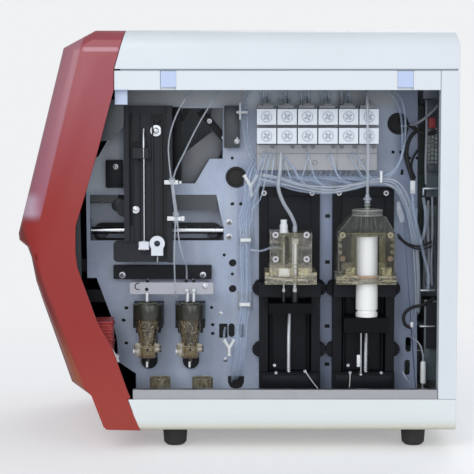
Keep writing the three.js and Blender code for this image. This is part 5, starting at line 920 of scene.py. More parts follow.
REFINED = [
    (RAIL_WHITE, 0.5, ("top_rail",)),
    (WHITE, 0.5, ("rear_post", "top_cover", "far_side_cover", "rear_panel")),
    (TRAY_WHITE, 0.5, ("base_tray",)),
    (POCKET_RED, 0.5, ("sample_pocket",)),
    (BLACK, 0.5, ("fan_frame", "fan_rotor", "power_inlet", "power_switch", "display_frame",
                  "sensor_bar", "bath_holder_1", "bath_holder_2", "fluid_ports")),
    (GUIDE_BLACK, 0.5, ("carriage_plate", "z_slider")),
    (BLACK_COAT, 0.5, ("front_frame", "x_motor", "z_motor")),
    (ANODISED, 0.5, ("small_pump_frame", "large_pump_frame")),
    (CARRIAGE_BLACK, 0.5, ("small_pump_carriage", "large_pump_carriage")),
    (PLATE, 0, ("mid_plate",)),
    (SILL_GREY, 0.2, ("base_sill",)),
    (STEEL, 0.2, ("sample_needle",)),
    (DARK_STEEL, 0.3, ("x_drive_pulley", "x_idler_pulley")),
    (ROD_STEEL, 0.3, ("guide_rod",)),
    (BEAM_GREY, 0.4, ("guide_beam",)),
    (ALUMINIUM, 0.4, ("power_supply",)),
    (BAR_GREY, 0.4, ("rinse_bar",)),
    (IVORY, 0.4, ("aspirate_key", "z_idler_block", "wash_swab", "valve_row_upper",
                  "valve_row_lower")),
    (PLUNGER_WHITE, 0.4, ("large_pump_plunger",)),
    (MANIFOLD_CLEAR, 0.5, ("valve_manifold",)),
    (SMOKED, 0.5, ("small_pump_block", "large_pump_block")),
    (BATH_CLEAR, 0.4, ("bath_1", "bath_2")),
    (CUP_CLEAR, 0.4, ("drain_cups",)),
    (RUBBER, 0.4, ("foot_front_near", "foot_front_far", "foot_rear_near", "foot_rear_far", "x_belt",
                   "z_belt")),
    (BOARD, 0, ("main_board",)),
    (GLASS, 0.3, ("display_glass",)),
    (MILKY_TUBE, 0, ("sampler_tubes",)),
]
for finish, bevel, nodes in REFINED:
    for node in nodes:
        refined(node, finish, bevel)


# The red shell: its own shape, red outside and black inside


def inside_of_shell(face):
    """True where a face looks at the line through the middle of the shell's sections."""
    centre = face.calc_center_median()
    swell = max(0.0, 1 - abs(centre.z - 0.23) / 0.2)
    middle = Vector((-0.125 - 0.065 * swell, 0, min(max(centre.z, 0.06), 0.4)))
    return face.normal.dot(centre - middle) < 0


def shell_side(name, finish, inner):
    bm = merged("front_shell")
    bm.normal_update()
    spare = [face for face in bm.faces if inside_of_shell(face) != inner]
    bmesh.ops.delete(bm, geom=spare, context="FACES")
    return finished(name, mesh_of(name, bm, 30), finish, "cabinet", ("front_shell",))


round_edges(shell_side("front_shell_outside", RED, False), 0.6)
shell_side("front_shell_inside", INNER_BLACK, True)


@piece_in(GAP_SHADE_GREY)
def nose_liner(bm):
    """A grey sheet of painted shade that shows between the red shell and the mid plate."""
    slab(bm, [(-152, 374), (-119.1, 363), (-119.8, 338), (-132, 324), (-150, 322)], "Y", -122, -121)
    slab(bm, [(-184, 250), (-166.4, 250), (-165.4, 178.2), (-168.2, 176), (-186, 196)], "Y", -122,
         -121)


@piece_in(SEAL_GREY)
def cover_seal(bm):
    block(bm, (-120, -163.8, 396.4), (227.5, -161, 398.6), 0.2)


# Small hardware that is set in many places, made facing the open side


def socket_head(radius, height):
    """A cap screw with a hexagon socket."""
    def form(bm):
        lathe(bm, [(radius, -0.2), (radius, height * 0.8), (radius * 0.88, height),
                   (radius * 0.56, height), (radius * 0.54, height * 0.35), (0, height * 0.3)],
              ORIGIN, hexed=(3, 4))
    return form


def pan_head(radius, height, washer=1.4):
    """A pan-head screw with a hexagon socket, on a washer so many times as wide."""
    def form(bm):
        lathe(bm, [(radius * washer, -0.1), (radius * washer, 0.4), (radius * 1.02, 0.5),
                   (radius, height * 0.6), (radius * 0.7, height * 0.94), (radius * 0.4, height),
                   (radius * 0.36, height * 0.5), (0, height * 0.45)], ORIGIN, hexed=(5, 6))
    return form


def disc(radius, height, rim=0.15):
    """A flat disc with a broken edge."""
    def form(bm):
        lathe(bm, [(radius, 0), (radius, height - rim), (radius - rim, height)], ORIGIN)
    return form


def at_y(y, places):
    return [(x, y, z) for x, z in places]


# Mid plate: screws, holes and grommets

DARK_SKIN = (-70.3, -69.9)  # from just in front of the plate's face to just behind it
PLATE_HOLES = [(-121.9, 138.5), (-125.2, 125.2), (-122.1, 99.7), (-27.9, 139), (-26.9, 120),
               (-26.9, 110.3), (-14, 197), (-5.5, 252.9), (3.9, 252.9), (-5.2, 303), (-5, 176),
               (-12, 80.5), (188, 303), (196, 303), (180, 289)]
PLATE_SCREWS = [(-8.7, 232.3), (-8.7, 216.5)]
SMALL_SCREWS = [(-17.9, 132), (-12.9, 81.2)]
# Plate holes: flat dark discs of painted shade.
repeated("plate_small_holes", disc(1.7, 0.25), HOLE_SHADE, at_y(PLATE_FACE_Y, PLATE_HOLES))
repeated("plate_screws", pan_head(2.7, 1.9), STEEL, at_y(PLATE_FACE_Y, PLATE_SCREWS), ANY_TURN)
repeated("plate_small_screws", pan_head(1.7, 1.3), STEEL, at_y(PLATE_FACE_Y, SMALL_SCREWS),
         ANY_TURN)
# More plate holes as discs of painted shade.
repeated("plate_big_holes", disc(3.9, 0.25), HOLE_SHADE, at_y(PLATE_FACE_Y, [(-5, 188.2), (-5, 159.7)]))


def cable_grommet(bm):
    """A rubber ring with a slit skin across it."""
    lathe(bm, [(11.4, -0.6), (11.4, 1.2), (10.6, 2.0), (9.4, 2.0), (8.6, 1.2), (8.4, -1.6),
               (3.2, -1.8), (2.6, -1.2), (0, -1.2)], ORIGIN, sides=40)
    for i in range(8):
        turn = math.pi * i / 4
        x, z = math.cos(turn), math.sin(turn)
        bar(bm, [(x * 3.4, 0.9, z * 3.4), (x * 8.2, 0.9, z * 8.2)], 0.35, 6)


repeated("cable_grommets", cable_grommet, RUBBER, at_y(PLATE_FACE_Y, [(-1, 282.3), (175, 340)]),
         1.0)


@piece_in(FILM_BLUE)
def rail_films(bm):
    """Pale blue film left round the rail's two fixing screws."""
    for middle in (-70.6, 173.4):
        slab(bm, rounded(middle - 8, middle + 8, 379.4, 396, 1.2), "Y", -163.7, -163.4)


@piece_in(DARK_SHEET)
def relay_box(bm):
    """A dark box and its lid beside the valves."""
    block(bm, (-13.8, -80, 314.3), (2.9, -70, 359.8), 0.8)
    block(bm, (-12.4, -80.6, 316.3), (1.5, -79.8, 357.8), 0.3)


@piece_in(WHITE_NYLON)
def relay_lever(bm):
    slab(bm, [(-1.8, 322.0), (1.6, 323.0), (0.2, 326.7)], "Y", -81.6, -80.4, 0.2)


repeated("relay_screw", pan_head(2.0, 1.3), STEEL, [(0.0, -80.6, 321.4)])


@piece_in(GUIDE_BLACK)
def near_sensor_box(bm):
    """The sensor box that shows beside the red shell."""
    block(bm, (-142.4, -80, 271), (-124, -70.2, 301), 0.8)
    block(bm, (-141.4, -80.6, 272.4), (-125, -79.8, 299.6), 0.3)


repeated("near_sensor_screw", pan_head(2.0, 1.3), STEEL, [(-131.5, -80.6, 294)])


# Behind the plate's window: a duct, slanted brackets and dark sheets


@piece_in(GREY_SHEET)
def window_duct(bm):
    slab(bm, [(-72, 268), (-38, 268), (-12, 318), (-22, 336), (-72, 298)], "Y", -62, -52, 1.2)
    slab(bm, [(-26, 374), (-8, 374), (-14, 322), (-30, 334)], "Y", -64, -58, 0.8)


@piece_in(BLACK_COAT)
def window_bracket(bm):
    slab(bm, [(-44, 352), (-36, 356), (-4, 318), (-4, 308)], "Y", -67, -63, 0.5)
    slab(bm, [(-64, 340), (-58, 344), (-44, 372), (-52, 374)], "Y", -67, -63, 0.5)


@piece_in(BLACK_COAT)
def window_edge(bm):
    block(bm, (-70.5, -72, 276), (-60.6, -70.1, 358.4), 0.3)


@piece_in(DARK_SHEET)
def opening_sheet(bm):
    """The dark sheet that shows over the guide beam, with its rounded end: painted shade for the
    plate's slot.
    """
    slab(bm, [(-70, 263.2), (-24, 263.2), (-22.6, 262.4), (-21.8, 260.6), (-21.8, 248.6),
              (-22.6, 246.6), (-24.6, 245.8), (-70, 245.8)], "Y", -69.3, -68.3)
    slab(bm, [(-162.8, 263.2), (-130, 263.2), (-130, 254.6), (-162.8, 254.6)], "Y", -69.3, -68.3)
    lathe(bm, [(7.4, 0), (7.4, 0.8), (6.8, 1.2)], (-129.5, -68.4, 251.5), sides=28)


repeated("bracket_screws", pan_head(1.9, 1.3), STEEL,
         [(-30, -67, 343), (-14, -67, 325), (-50, -67, 362)], ANY_TURN)


# Valves

VALVE_X = [31.3 + 21.7 * i for i in range(6)]
VALVE_FRONT_Y = -118
VALVE_MIDDLES = (328.3, 348.4)
PIN_SHIFTS = (-5.4, -1.2, 3.6)
BARB_SHIFTS = (-6.5, 0, 5.5)


def rosette(bm):
    """A valve's round face: a raised rim, four screws and a middle stud."""
    lathe(bm, [(5.7, 0.0), (5.7, 0.95), (5.5, 1.1), (5.1, 1.1), (4.95, 0.9), (4.95, 0.0)], ORIGIN,
          sides=32)
    for i in range(4):
        turn = math.pi / 4 + math.pi / 2 * i
        lathe(bm, [(1.5, 0.4), (1.5, 1.05), (1.2, 1.2), (0.7, 1.2), (0.5, 0.9), (0, 0.9)],
              (2.6 * math.cos(turn), 0, 2.6 * math.sin(turn)), sides=12)
    lathe(bm, [(1.1, 0.4), (1.1, 1.25), (0.8, 1.4), (0, 1.4)], ORIGIN, sides=12)


repeated("valve_rosettes", rosette, ENGRAVED,
         [(x, VALVE_FRONT_Y, z) for z in VALVE_MIDDLES for x in VALVE_X], 0.3, seed=4)


@piece_in(COIL_GREY)
def valve_coils(bm):
    """Coil ends and their tags over the upper row."""
    for x in VALVE_X:
        block(bm, (x - 9.2, -112, 357.2), (x + 7.6, -96, 360.6), 0.5)
        block(bm, (x - 4.2, -108, 360.4), (x + 5.2, -99, 362.6), 0.4)


@piece_in(PIN_GREY)
def valve_pins(bm):
    for x in VALVE_X:
        for shift in PIN_SHIFTS:
            lathe(bm, [(1.7, 0), (1.7, 4.4), (1.2, 5.0), (1.2, 8.6), (1.5, 9.4), (1.0, 10.4)],
                  (x + shift, -86, 356.6), UP, 14)


@piece_in(CLEAR_TUBE)
def rising_tubes(bm):
    spread = random.Random(7)
    for x in VALVE_X[:5]:
        for shift in PIN_SHIFTS:
            lean = spread.uniform(-4, 4)
            sweep(bm, [(x + shift, -86, 364), (x + shift + lean * 0.4, -87, 372),
                       (x + shift + lean, -86, 381), (x + shift + lean * 1.4, -76, 389.5),
                       (x + shift + lean * 1.6, -63, 389.5), (x + shift + lean * 1.8, -57, 380),
                       (x + shift + lean * 2, -57, 366)], 1.5, 10, 5)


@piece_in(SEAM_GREY)
def manifold_seams(bm):
    block(bm, (21.4, -100.35, 308.6), (150.2, -99.8, 309.5), 0.1)
    for x in (42.4, 75, 107.2, 129):
        block(bm, (x - 0.3, -100.3, 291.5), (x + 0.3, -99.8, 318.4), 0.1)
    for x in (38.2, 59.7, 72, 81.2, 103.3, 111.9, 125.9, 146.3):
        lathe(bm, [(2.6, -0.2), (2.6, 0.5), (2.2, 0.7), (1.1, 0.7), (0.9, 0.3), (0, 0.3)],
              (x, -100, 316.6), sides=16)


def thin_ring(bm):
    bar(bm, [(x, -0.1, z) for x, z in around(2.3, 28)], 0.45)


repeated("manifold_rings", thin_ring, SEAM_GREY, [(83.4, -100, 299.5), (134.7, -100, 300.2)])


@piece_in(MILKY_TUBE)
def manifold_barbs(bm):
    for x in VALVE_X:
        for shift in BARB_SHIFTS:
            lathe(bm, [(1.9, -1), (1.9, 2.2), (1.4, 3.0), (1.6, 4.0), (1.1, 5.4)],
                  (x + shift, -88, 291.6), DOWN, 12)


# Pumps

THIN_BORE_X, WIDE_BORE_X, LARGE_BORE_X = 50.0, 61.9, 139.1
PUMP_AXIS_Y, BLOCK_FRONT_Y, BEAD_Y = -110, -128, -127.8
PUMP_SPANS = ((34.9, 79.3, 29.9, 84.3), (107.2, 167.4, 105.7, 168.9))


@piece_in(SMOKED_EDGE)
def pump_block_edges(bm):
    """Thin beads of painted highlight where the clear blocks gather light: flange lines, side edges
    and top edge.
    """
    for x0, x1, wide_x0, wide_x1 in PUMP_SPANS:
        for height, inset, radius in ((171.6, 0.6, 0.4), (174.0, 3.0, 0.22), (177.2, 4.0, 0.4),
                                      (180.2, 0.4, 0.28)):
            bar(bm, [(wide_x0 + inset, BEAD_Y, height), (wide_x1 - inset, BEAD_Y, height)], radius)
        for x in (x0 + 0.3, x1 - 0.3):
            bar(bm, [(x, BEAD_Y, 184.5), (x, BEAD_Y, 225)], 0.22)
        bar(bm, [(x0 + 6, BEAD_Y, 225.6), (x1 - 6, BEAD_Y, 225.6)], 0.28)


@piece_in(CLEAR_RIM)
def pump_disc_rims(bm):
    """Painted highlights: lit rims of the large pump's top disc and its stud, and lit lines of the
    cone under it.
    """
    for height, radius in ((243.9, 16.2), (249.2, 16.2), (249.2, 12.6), (250.4, 3.2), (254.5, 3.0)):
        hoop(bm, (LARGE_BORE_X, PUMP_AXIS_Y, height), radius, 0.42, 36)
    for x, top_x in ((107.4, 120.9), (167.2, 157.3)):
        bar(bm, [(x, -127.6, 226), (top_x, -123.8, 243)], 0.16)
    for x in (130.4, 135.6, 143.2, 147.8):
        bar(bm, [(x, -124, 228), (x + (LARGE_BORE_X - x) * 0.2, -122.4, 242.6)], 0.1, 6)


@piece_in(SMOKED_EDGE)
def block_inserts(bm):
    """Threaded inserts, ducts and seal seats that show through the clear blocks."""
    for x, z, radius, length in ((40.7, 176.5, 3.6, 5.5), (73.5, 176.5, 3.6, 5.5),
                                 (60.9, 177, 4.4, 5), (114.5, 177, 4.2, 6), (160.5, 177, 4.2, 6),
                                 (40.7, 198.4, 2.6, 4), (73.5, 198.4, 2.6, 4)):
        lathe(bm, [(radius, 0), (radius, length), (radius * 0.7, length + 0.4),
                   (radius * 0.5, length + 0.4), (radius * 0.45, 1)], (x, -122, z), sides=20)
    for x in (THIN_BORE_X, WIDE_BORE_X):
        for height in (186.5, 190.5, 222.0):
            lathe(bm, [(3.1, -0.7), (3.4, 0), (3.1, 0.7)], (x, PUMP_AXIS_Y, height), UP, 20)
    for height in (205, 212, 219):
        for x in (109.5, 165):
            lathe(bm, [(2.2, 0), (2.2, 4), (1.6, 4.4)], (x, -120, height), sides=14)


@piece_in(WHITE_NYLON)
def white_seals(bm):
    lathe(bm, [(2.4, 0), (4.9, 0), (4.9, 6.6), (2.4, 6.6)], (THIN_BORE_X, PUMP_AXIS_Y, 180.4), UP)
    lathe(bm, [(4.3, 0), (4.3, 3.0), (3.9, 3.4), (4.3, 3.8), (4.3, 7.6), (3.5, 8.2), (3.5, 13.0),
               (1.4, 13.2)], (THIN_BORE_X, PUMP_AXIS_Y, 225.8), UP)


@piece_in(ORANGE_SEAL)
def orange_seal(bm):
    lathe(bm, [(11.9, 0), (12.3, 0.4), (12.3, 3.6), (11.9, 4.0)],
          (LARGE_BORE_X, PUMP_AXIS_Y, 175.6), UP, 40)


SPINDLE_Y, SPINDLE_RADIUS = -94, 3.0
THREAD_DEPTH, THREAD_STARTS, THREAD_LEAD, THREAD_STEP = 0.55, 4, 8.0, 0.4


def thread(bm, x, low, high, sides=24):
    """A four-start thread; a turn of it moves the nut by its lead."""
    count = int((high - low) / THREAD_STEP)
    rings = []
    for k in range(count + 1):
        z = low + (high - low) * k / count
        ring_verts = []
        for i in range(sides):
            turn = 2 * math.pi * i / sides
            phase = (THREAD_STARTS * (turn / (2 * math.pi) + z / THREAD_LEAD)) % 1
            rise = min(1, max(0, abs(phase * 2 - 1) * 2 - 0.5))
            reach = SPINDLE_RADIUS - THREAD_DEPTH + THREAD_DEPTH * rise
            point = (x + reach * math.cos(turn), SPINDLE_Y + reach * math.sin(turn), z)
            ring_verts.append(bm.verts.new(place_of(point)))
        rings.append(ring_verts)
    skin_rings(bm, rings)


def add_spindle(node, x):
    """A pump's lead screw: a plain lower end and the thread above it."""
    low, high = corners(node)

    def turned(bm):
        thread(bm, x, low.z + 13.6, high.z)
        lathe(bm, [(2.5, 0), (2.5, 13.8)], (x, SPINDLE_Y, low.z), UP)

    shaped(node + "_made", STEEL, BODY_OF[node], turned, (node,), 50)


add_spindle("small_pump_screw", 56.5)
add_spindle("large_pump_screw", 140.1)


@piece_in(TIPPED_IVORY, BODY_OF["small_pump_plunger"], replaces=("small_pump_plunger",))
def small_pump_plunger_made(bm):
    """Two stepped rods: a foot on the nut block, a tip under the flange, the rod in its bore."""
    low, high = corners("small_pump_plunger")
    foot, rod_length = 160.8 - low.z, high.z - low.z
    lathe(bm, [(1.9, 0), (1.9, foot), (1.5, foot + 0.2), (1.5, foot + 3.6), (0.8, foot + 4.2),
               (0.8, 17.5 + foot), (1.1, 18 + foot), (1.1, rod_length)],
          (THIN_BORE_X, PUMP_AXIS_Y, low.z), UP)
    lathe(bm, [(3.6, 0), (3.6, foot), (2.2, foot + 0.2), (2.2, foot + 4.2), (1.7, foot + 4.8),
               (1.7, foot + 9.6), (3.1, foot + 10.2), (3.1, rod_length - 0.6), (2.5, rod_length)],
          (WIDE_BORE_X, PUMP_AXIS_Y, low.z), UP, 28)


BAR_SCREWS = [(-125, 176), (-37, 176)]
PUMP_TOP_SCREWS = [(29.3, 265.4), (81.5, 265.4), (110.8, 265.4), (161.8, 265.4)]
PUMP_LOW_SCREWS = [(40.6, 80.2), (42.2, 72.0), (73.6, 73.6), (120.2, 80.2), (122.4, 72.0),
                   (156.0, 72.0)]
SMALL_BLOCK_SCREWS = [(40.7, 224.2), (73.5, 224.2), (40.8, 198.4), (73.6, 198.4)]
LARGE_TOP_SCREWS = [(111.6, 223.8), (162.2, 223.8)]
LARGE_LOW_SCREWS = [(111.6, 198.8), (162.2, 198.8)]
repeated("pump_top_screws", socket_head(3.1, 3.0), SCREW_STEEL, at_y(-78, PUMP_TOP_SCREWS),
         ANY_TURN, seed=3)
repeated("pump_low_screws", socket_head(1.9, 2.0), STEEL, at_y(-100, PUMP_LOW_SCREWS), ANY_TURN,
         seed=5)
repeated("small_block_screws", socket_head(3.5, 3.2), SCREW_STEEL,
         at_y(BLOCK_FRONT_Y, SMALL_BLOCK_SCREWS), ANY_TURN, seed=8)
repeated("large_top_screws", socket_head(3.3, 2.6), PALE_BRASS,
         at_y(BLOCK_FRONT_Y, LARGE_TOP_SCREWS), ANY_TURN, seed=9)
repeated("large_low_screws", socket_head(3.3, 2.6), BRASS, at_y(BLOCK_FRONT_Y, LARGE_LOW_SCREWS),
         ANY_TURN, seed=10)


# A dark hex of painted shade, set in a screw's socket.
def hex_socket(bm):
    lathe(bm, [(1.75, 0), (1.75, 0.2), (0, 0.1)], ORIGIN, hexed=(0, 1))


repeated("block_screw_sockets", hex_socket, SOCKET_GREY,
         at_y(-131.1, SMALL_BLOCK_SCREWS) + at_y(-80.9, PUMP_TOP_SCREWS) + at_y(-71.8, PLATE_SCREWS)
         + at_y(-81.9, BAR_SCREWS), ANY_TURN, seed=12)
repeated("large_block_sockets", hex_socket, SOCKET_TAN,
         at_y(-130.5, LARGE_TOP_SCREWS + LARGE_LOW_SCREWS), ANY_TURN, seed=13)


def clamp_knob(bm):
    """A ribbed knob on a pump's ear."""
    lathe(bm, [(7.2, 0), (7.6, 0.8), (7.6, 4.6), (6.8, 5.6), (5.0, 5.6), (4.6, 4.8), (0, 4.8)],
          ORIGIN, sides=36)
    for i in range(14):
        turn = 2 * math.pi * i / 14
        lathe(bm, [(0.8, 0.6), (0.8, 4.6), (0.4, 5.2)],
              (7.5 * math.cos(turn), 0, 7.5 * math.sin(turn)), sides=8)
    for x, z in ((2.6, 0.8), (-2.4, -0.8)):
        lathe(bm, [(1.5, 4.7), (1.5, 5.4), (0.9, 5.4), (0.8, 4.9)], (x, 0, z), sides=12)


KNOB_PLACES = [(x, z) for x in (24.5, 89.6, 104.6, 170) for z in (161.5, 94.5)]
repeated("pump_knobs", clamp_knob, BLACK, at_y(-78, KNOB_PLACES), 2.0, seed=2)


@piece_in(HOLE_SHADE)
def dark_openings(bm):
    """Painted shade: dark centres of the rinse bar's holes, the slot round one, and the plate's
    lower notch.
    """
    for x, z in ((-96.3, 172.6), (-54.5, 172.6), (-46.5, 172.6), (-97.0, 163.4)):
        lathe(bm, [(1.9, 0), (1.9, 0.4), (1.5, 0.5)], (x, -106.0, z), sides=14)
    slot = [(-106.4 + 3.2 * x, -106.2, 166.6 + 3.4 * z) for x, z in around(1, 20, 0.35, 1.65)]
    bar(bm, slot, 0.5)
    slab(bm, [(-9.9, 63), (7.7, 63), (7.7, 56), (5.2, 50.8), (-1.1, 48.2), (-7.4, 50.8),
              (-9.9, 56)], "Y", *DARK_SKIN)


repeated("rinse_bar_screw", pan_head(2.5, 1.6, 1.3), STEEL, [(-34.4, -106.0, 166.6)])


@piece_in(WHITE_NYLON)
def rinse_stubs(bm):
    lathe(bm, [(1.4, 0), (1.4, 8.6), (1.0, 9.4)], (-96.6, -108, 150.6), UP, 16)
    for x in (-53.0, -46.4):
        lathe(bm, [(1.4, 0), (1.4, 8.4), (1.1, 9.2), (1.1, 11.4)], (x, -108, 150.6), UP, 16)
    for x in (-53.8, -46.2):
        lathe(bm, [(2.3, 0), (2.3, 1.0), (1.7, 1.4), (2.3, 1.8), (2.3, 2.8)], (x, -109, 161.4), UP,
              16)


BATH_X, BATH_Y = (-96.3, -50.6), -106
CUP_X = (-82.9, -37.2)


@piece_in(SMOKED_EDGE)
def cup_rims(bm):
    """Two rims on each drain cup, and upright ribs round its near half, in a pale amber that paints
    their highlights.
    """
    for x in CUP_X:
        for radius, height in ((10.9, 67.4), (9.4, 66.9)):
            hoop(bm, (x, BATH_Y, height), radius, 0.55, 32)
        for dx, dy in around(11.4, 6, 1.1, 1.9):
            bar(bm, [(x + dx, BATH_Y + dy, 66.6), (x + dx, BATH_Y + dy, 56)], 0.4, 6)


@piece_in(POCKET_RED)
def pocket_ribs(bm):
    for k in range(6):
        z = 131.2 - 3.6 * k
        sweep(bm, [(-188, -134.4, z + 1.0), (-160, -134.6, z + 0.4), (-131.6, -134.6, z)],
              0.8 if k % 5 else 1.1, 8)
    for k in range(9):
        bar(bm, [(-186 + 6 * k, -134.3, 112), (-184.6 + 6 * k, -134.5, 130)], 0.5, 6)


@piece_in(WHITE_NYLON)
def seam_strip(bm):
    slab(bm, [(-138.4, 115), (-134.6, 109.6), (-133.2, 110.4), (-125.2, 96), (-123.4, 91.6),
              (-127.8, 91.6), (-130.6, 96.4), (-133.2, 103)], "Y", -150, -148.6, 0.2)


@piece_in(ANODISED)
def pump_rails(bm):
    """Guide rods and inner walls of the two pump frames."""
    for x0, x1 in ((33.8, 80.4), (113.7, 161.0)):
        for x in (x0 + 2.6, x1 - 2.6):
            lathe(bm, [(1.9, 0), (1.9, 82)], (x, -83, 72.4), UP, 18)
    for x0, x1 in ((24.4, 89.8), (104.3, 170.3)):
        block(bm, (x0 + 9.6, -80.2, 190), (x1 - 9.6, -78.1, 262), 0.6)
        block(bm, (x0 + 3, -100.6, 50), (x1 - 3, -99.8, 69), 0.3)


@piece_in(STEEL)
def pump_pins(bm):
    for x in (30.5, 84, 110.4, 164.4):
        lathe(bm, [(1.5, 0), (1.5, 0.3), (1.1, 0.4)], (x, -92, 64), sides=12)


@piece_in(WHITE_NYLON)
def motor_leads(bm):
    sweep(bm, [(73.4, -101, 74.4), (77, -103, 69), (82, -103, 62), (88, -101, 54)], 0.5, 8)
    sweep(bm, [(122.4, -101, 73.4), (122.2, -103, 66), (121.7, -101, 56)], 0.5, 8)


@piece_in(STEEL)
def stroke_rod(bm):
    """A rod on its bracket, in front of the nut block's path."""
    bar(bm, [(132.2, -124.2, 74), (132.2, -124.2, 118.6)], 0.9, 10)
    block(bm, (130.8, -125.4, 72.6), (133.6, -105.6, 74.6), 0.4)


@piece_in(WHITE_NYLON)
def stroke_flag(bm):
    block(bm, (127.9, -125.2, 82.4), (131.4, -124.4, 95.2), 0.3)


@piece_in(HOLE_SHADE)
def strip_slots(bm):
    """Square slots in the plate strip between the pumps, as blocks of painted shade."""
    for z in (239.7, 189.2, 118.5, 76.3):
        block(bm, (96.4, DARK_SKIN[0], z - 1.9), (101.6, DARK_SKIN[1], z + 1.9), 0.1)


# Sampler


def belt_teeth(bm):
    block(bm, (-1.0, -0.2, -0.7), (0.4, 6.0, 0.7), 0.2, 1)


repeated("belt_teeth", belt_teeth, RUBBER, [(-147.5 + 2.5 * i, -54, 226.9) for i in range(48)])


@piece_in(BLACK_COAT, "carriage")
def carriage_strips(bm):
    """Raised lines of the linear guide on the carriage plate."""
    for x, width in ((-103.6, 0.7), (-90.9, 0.8), (-80.6, 1.0)):
        block(bm, (x, -108.8, 206), (x + width, -107.9, 352), 0.15)
    block(bm, (-114.0, -108.5, 232), (-111.2, -107.9, 352), 0.2)


repeated("carriage_screw_near", pan_head(3.4, 2.2, 1.75), STEEL, [(-86.2, -109.5, 333.6)],
         body="carriage")
repeated("carriage_screw_low", pan_head(2.6, 0.8, 1.5), STEEL, [(-108.2, -107.7, 249.2)],
         body="carriage")


@piece_in(WHITE_NYLON, "carriage")
def swab_cap(bm):
    """The wash swab's upper rim, its front bar and the clip at its side."""
    lathe(bm, [(3.4, 0), (3.4, 0.6), (2.6, 1.0), (1.6, 1.0)], (-99.2, -113, 215.2), UP, 20)
    block(bm, (-105.2, -118.4, 207.6), (-93.6, -117.4, 209.2), 0.3)
    block(bm, (-92.8, -112, 209), (-90.6, -109, 213.5), 0.5)


@piece_in(STEEL, BODY_OF["z_slider"])
def needle_clip(bm):
    """The needle's tube over its slider, and the thicker sleeve above."""
    lathe(bm, [(0.9, 0), (0.9, 9.4), (1.7, 10.4), (1.7, 17.6), (1.0, 23), (0.8, 27.6)],
          (-99.2, -117.6, 305.2), UP, 18)


@piece_in(DARK_STEEL, "carriage")
def idler_hub(bm):
    lathe(bm, [(3.1, 0), (3.1, 1.0), (2.4, 1.4), (0.9, 1.4), (0.7, 0.8), (0, 0.8)],
          (-85, -116.6, 213.9), sides=20)


@piece_in(STEEL, "carriage")
def idler_stem(bm):
    bar(bm, [(-85, -113, 199.5), (-85, -113, 193.8)], 1.0, 10)


repeated("sensor_bar_screws", pan_head(2.5, 1.7, 1.35), STEEL, at_y(-80.3, BAR_SCREWS), ANY_TURN,
         seed=6)


# Hoses and cables, one strand at a time


def strand_offsets(points, shift, wander, seed):
    """The points moved by a steady shift and by small bends of their own."""
    bends = random.Random(seed)
    return [(x + shift[0] + bends.uniform(-wander, wander),
             y + shift[1] + bends.uniform(-wander, wander) * 0.5,
             z + shift[2] + bends.uniform(-wander, wander)) for x, y, z in points]


VALVE_BUNDLE = [(26, -104, 284), (45, -106, 280), (70, -108, 273), (100, -109, 270),
                (125, -109, 274), (150, -108, 279), (168, -107, 276), (180, -104, 262),
                (187, -98, 240)]


def loom_strands(bm, first, last, radius):
    """Some of the seven hoses that run along the valves and down to the fluid ports."""
    _, port_y, port_z = middle_of("fluid_ports")
    route = VALVE_BUNDLE + [(192, port_y - 27, port_z + 89), (195, port_y - 22, port_z + 59),
                            (196, port_y - 16, port_z + 33), (196, port_y - 14, port_z + 10)]
    for i in range(first, last):
        turn = 2 * math.pi * i / 7
        shift = (2.4 * math.cos(turn), 1.8 * math.sin(turn), 3.2 * math.cos(turn + 0.6))
        sweep(bm, strand_offsets(route, shift, 1.1, i), radius)


@piece_in(CLEAR_TUBE, replaces=("tube_loom",))
def tube_loom_clear(bm):
    """The loom's clear hoses, and those that join it from under the valves."""
    loom_strands(bm, 0, 4, 1.1)
    for i, x in enumerate(VALVE_X):
        for k, shift in enumerate(BARB_SHIFTS):
            target = VALVE_BUNDLE[min(i + 1 + (k > 0), 7)]
            sweep(bm, [(x + shift, -88, 288), (x + shift, -90, 284),
                       ((x + shift) * 0.5 + target[0] * 0.5, -99, 281),
                       (target[0], target[1] + k, target[2] + 1.2 * k)], 0.9, 8, 5)


@piece_in(MILKY_TUBE)
def tube_loom_milky(bm):
    """The loom's milky hoses, and the hose on top of each pump."""
    loom_strands(bm, 4, 7, 1.05)
    sweep(bm, [(47, -103, 310), (46, -108, 292), (44, -110, 274), (49, -112, 258), (58, -111, 243),
               (WIDE_BORE_X, PUMP_AXIS_Y, 233), (WIDE_BORE_X, PUMP_AXIS_Y, 226)], 2.1, 14)
    sweep(bm, [(139.8, -80.5, 357), (139.8, -82, 374), (138.6, -99, 379), (137.4, -117, 374),
               (137.6, -124, 352), (138, -124, 325), (138.6, -122, 305), (139, -114, 282),
               (LARGE_BORE_X, PUMP_AXIS_Y, 264), (LARGE_BORE_X, PUMP_AXIS_Y, 257.5)], 1.6, 14)


@piece_in(MILKY_TUBE)
def hose_collars(bm):
    lathe(bm, [(2.6, 0), (3.1, 0.6), (3.1, 3.4), (4.4, 4.0), (4.4, 6.0), (2.6, 7.0), (2.4, 9.4)],
          (LARGE_BORE_X, PUMP_AXIS_Y, 256), UP, 20)
    lathe(bm, [(2.6, 0), (2.6, 5.4), (2.3, 6)], (WIDE_BORE_X, PUMP_AXIS_Y, 225.8), UP, 18)


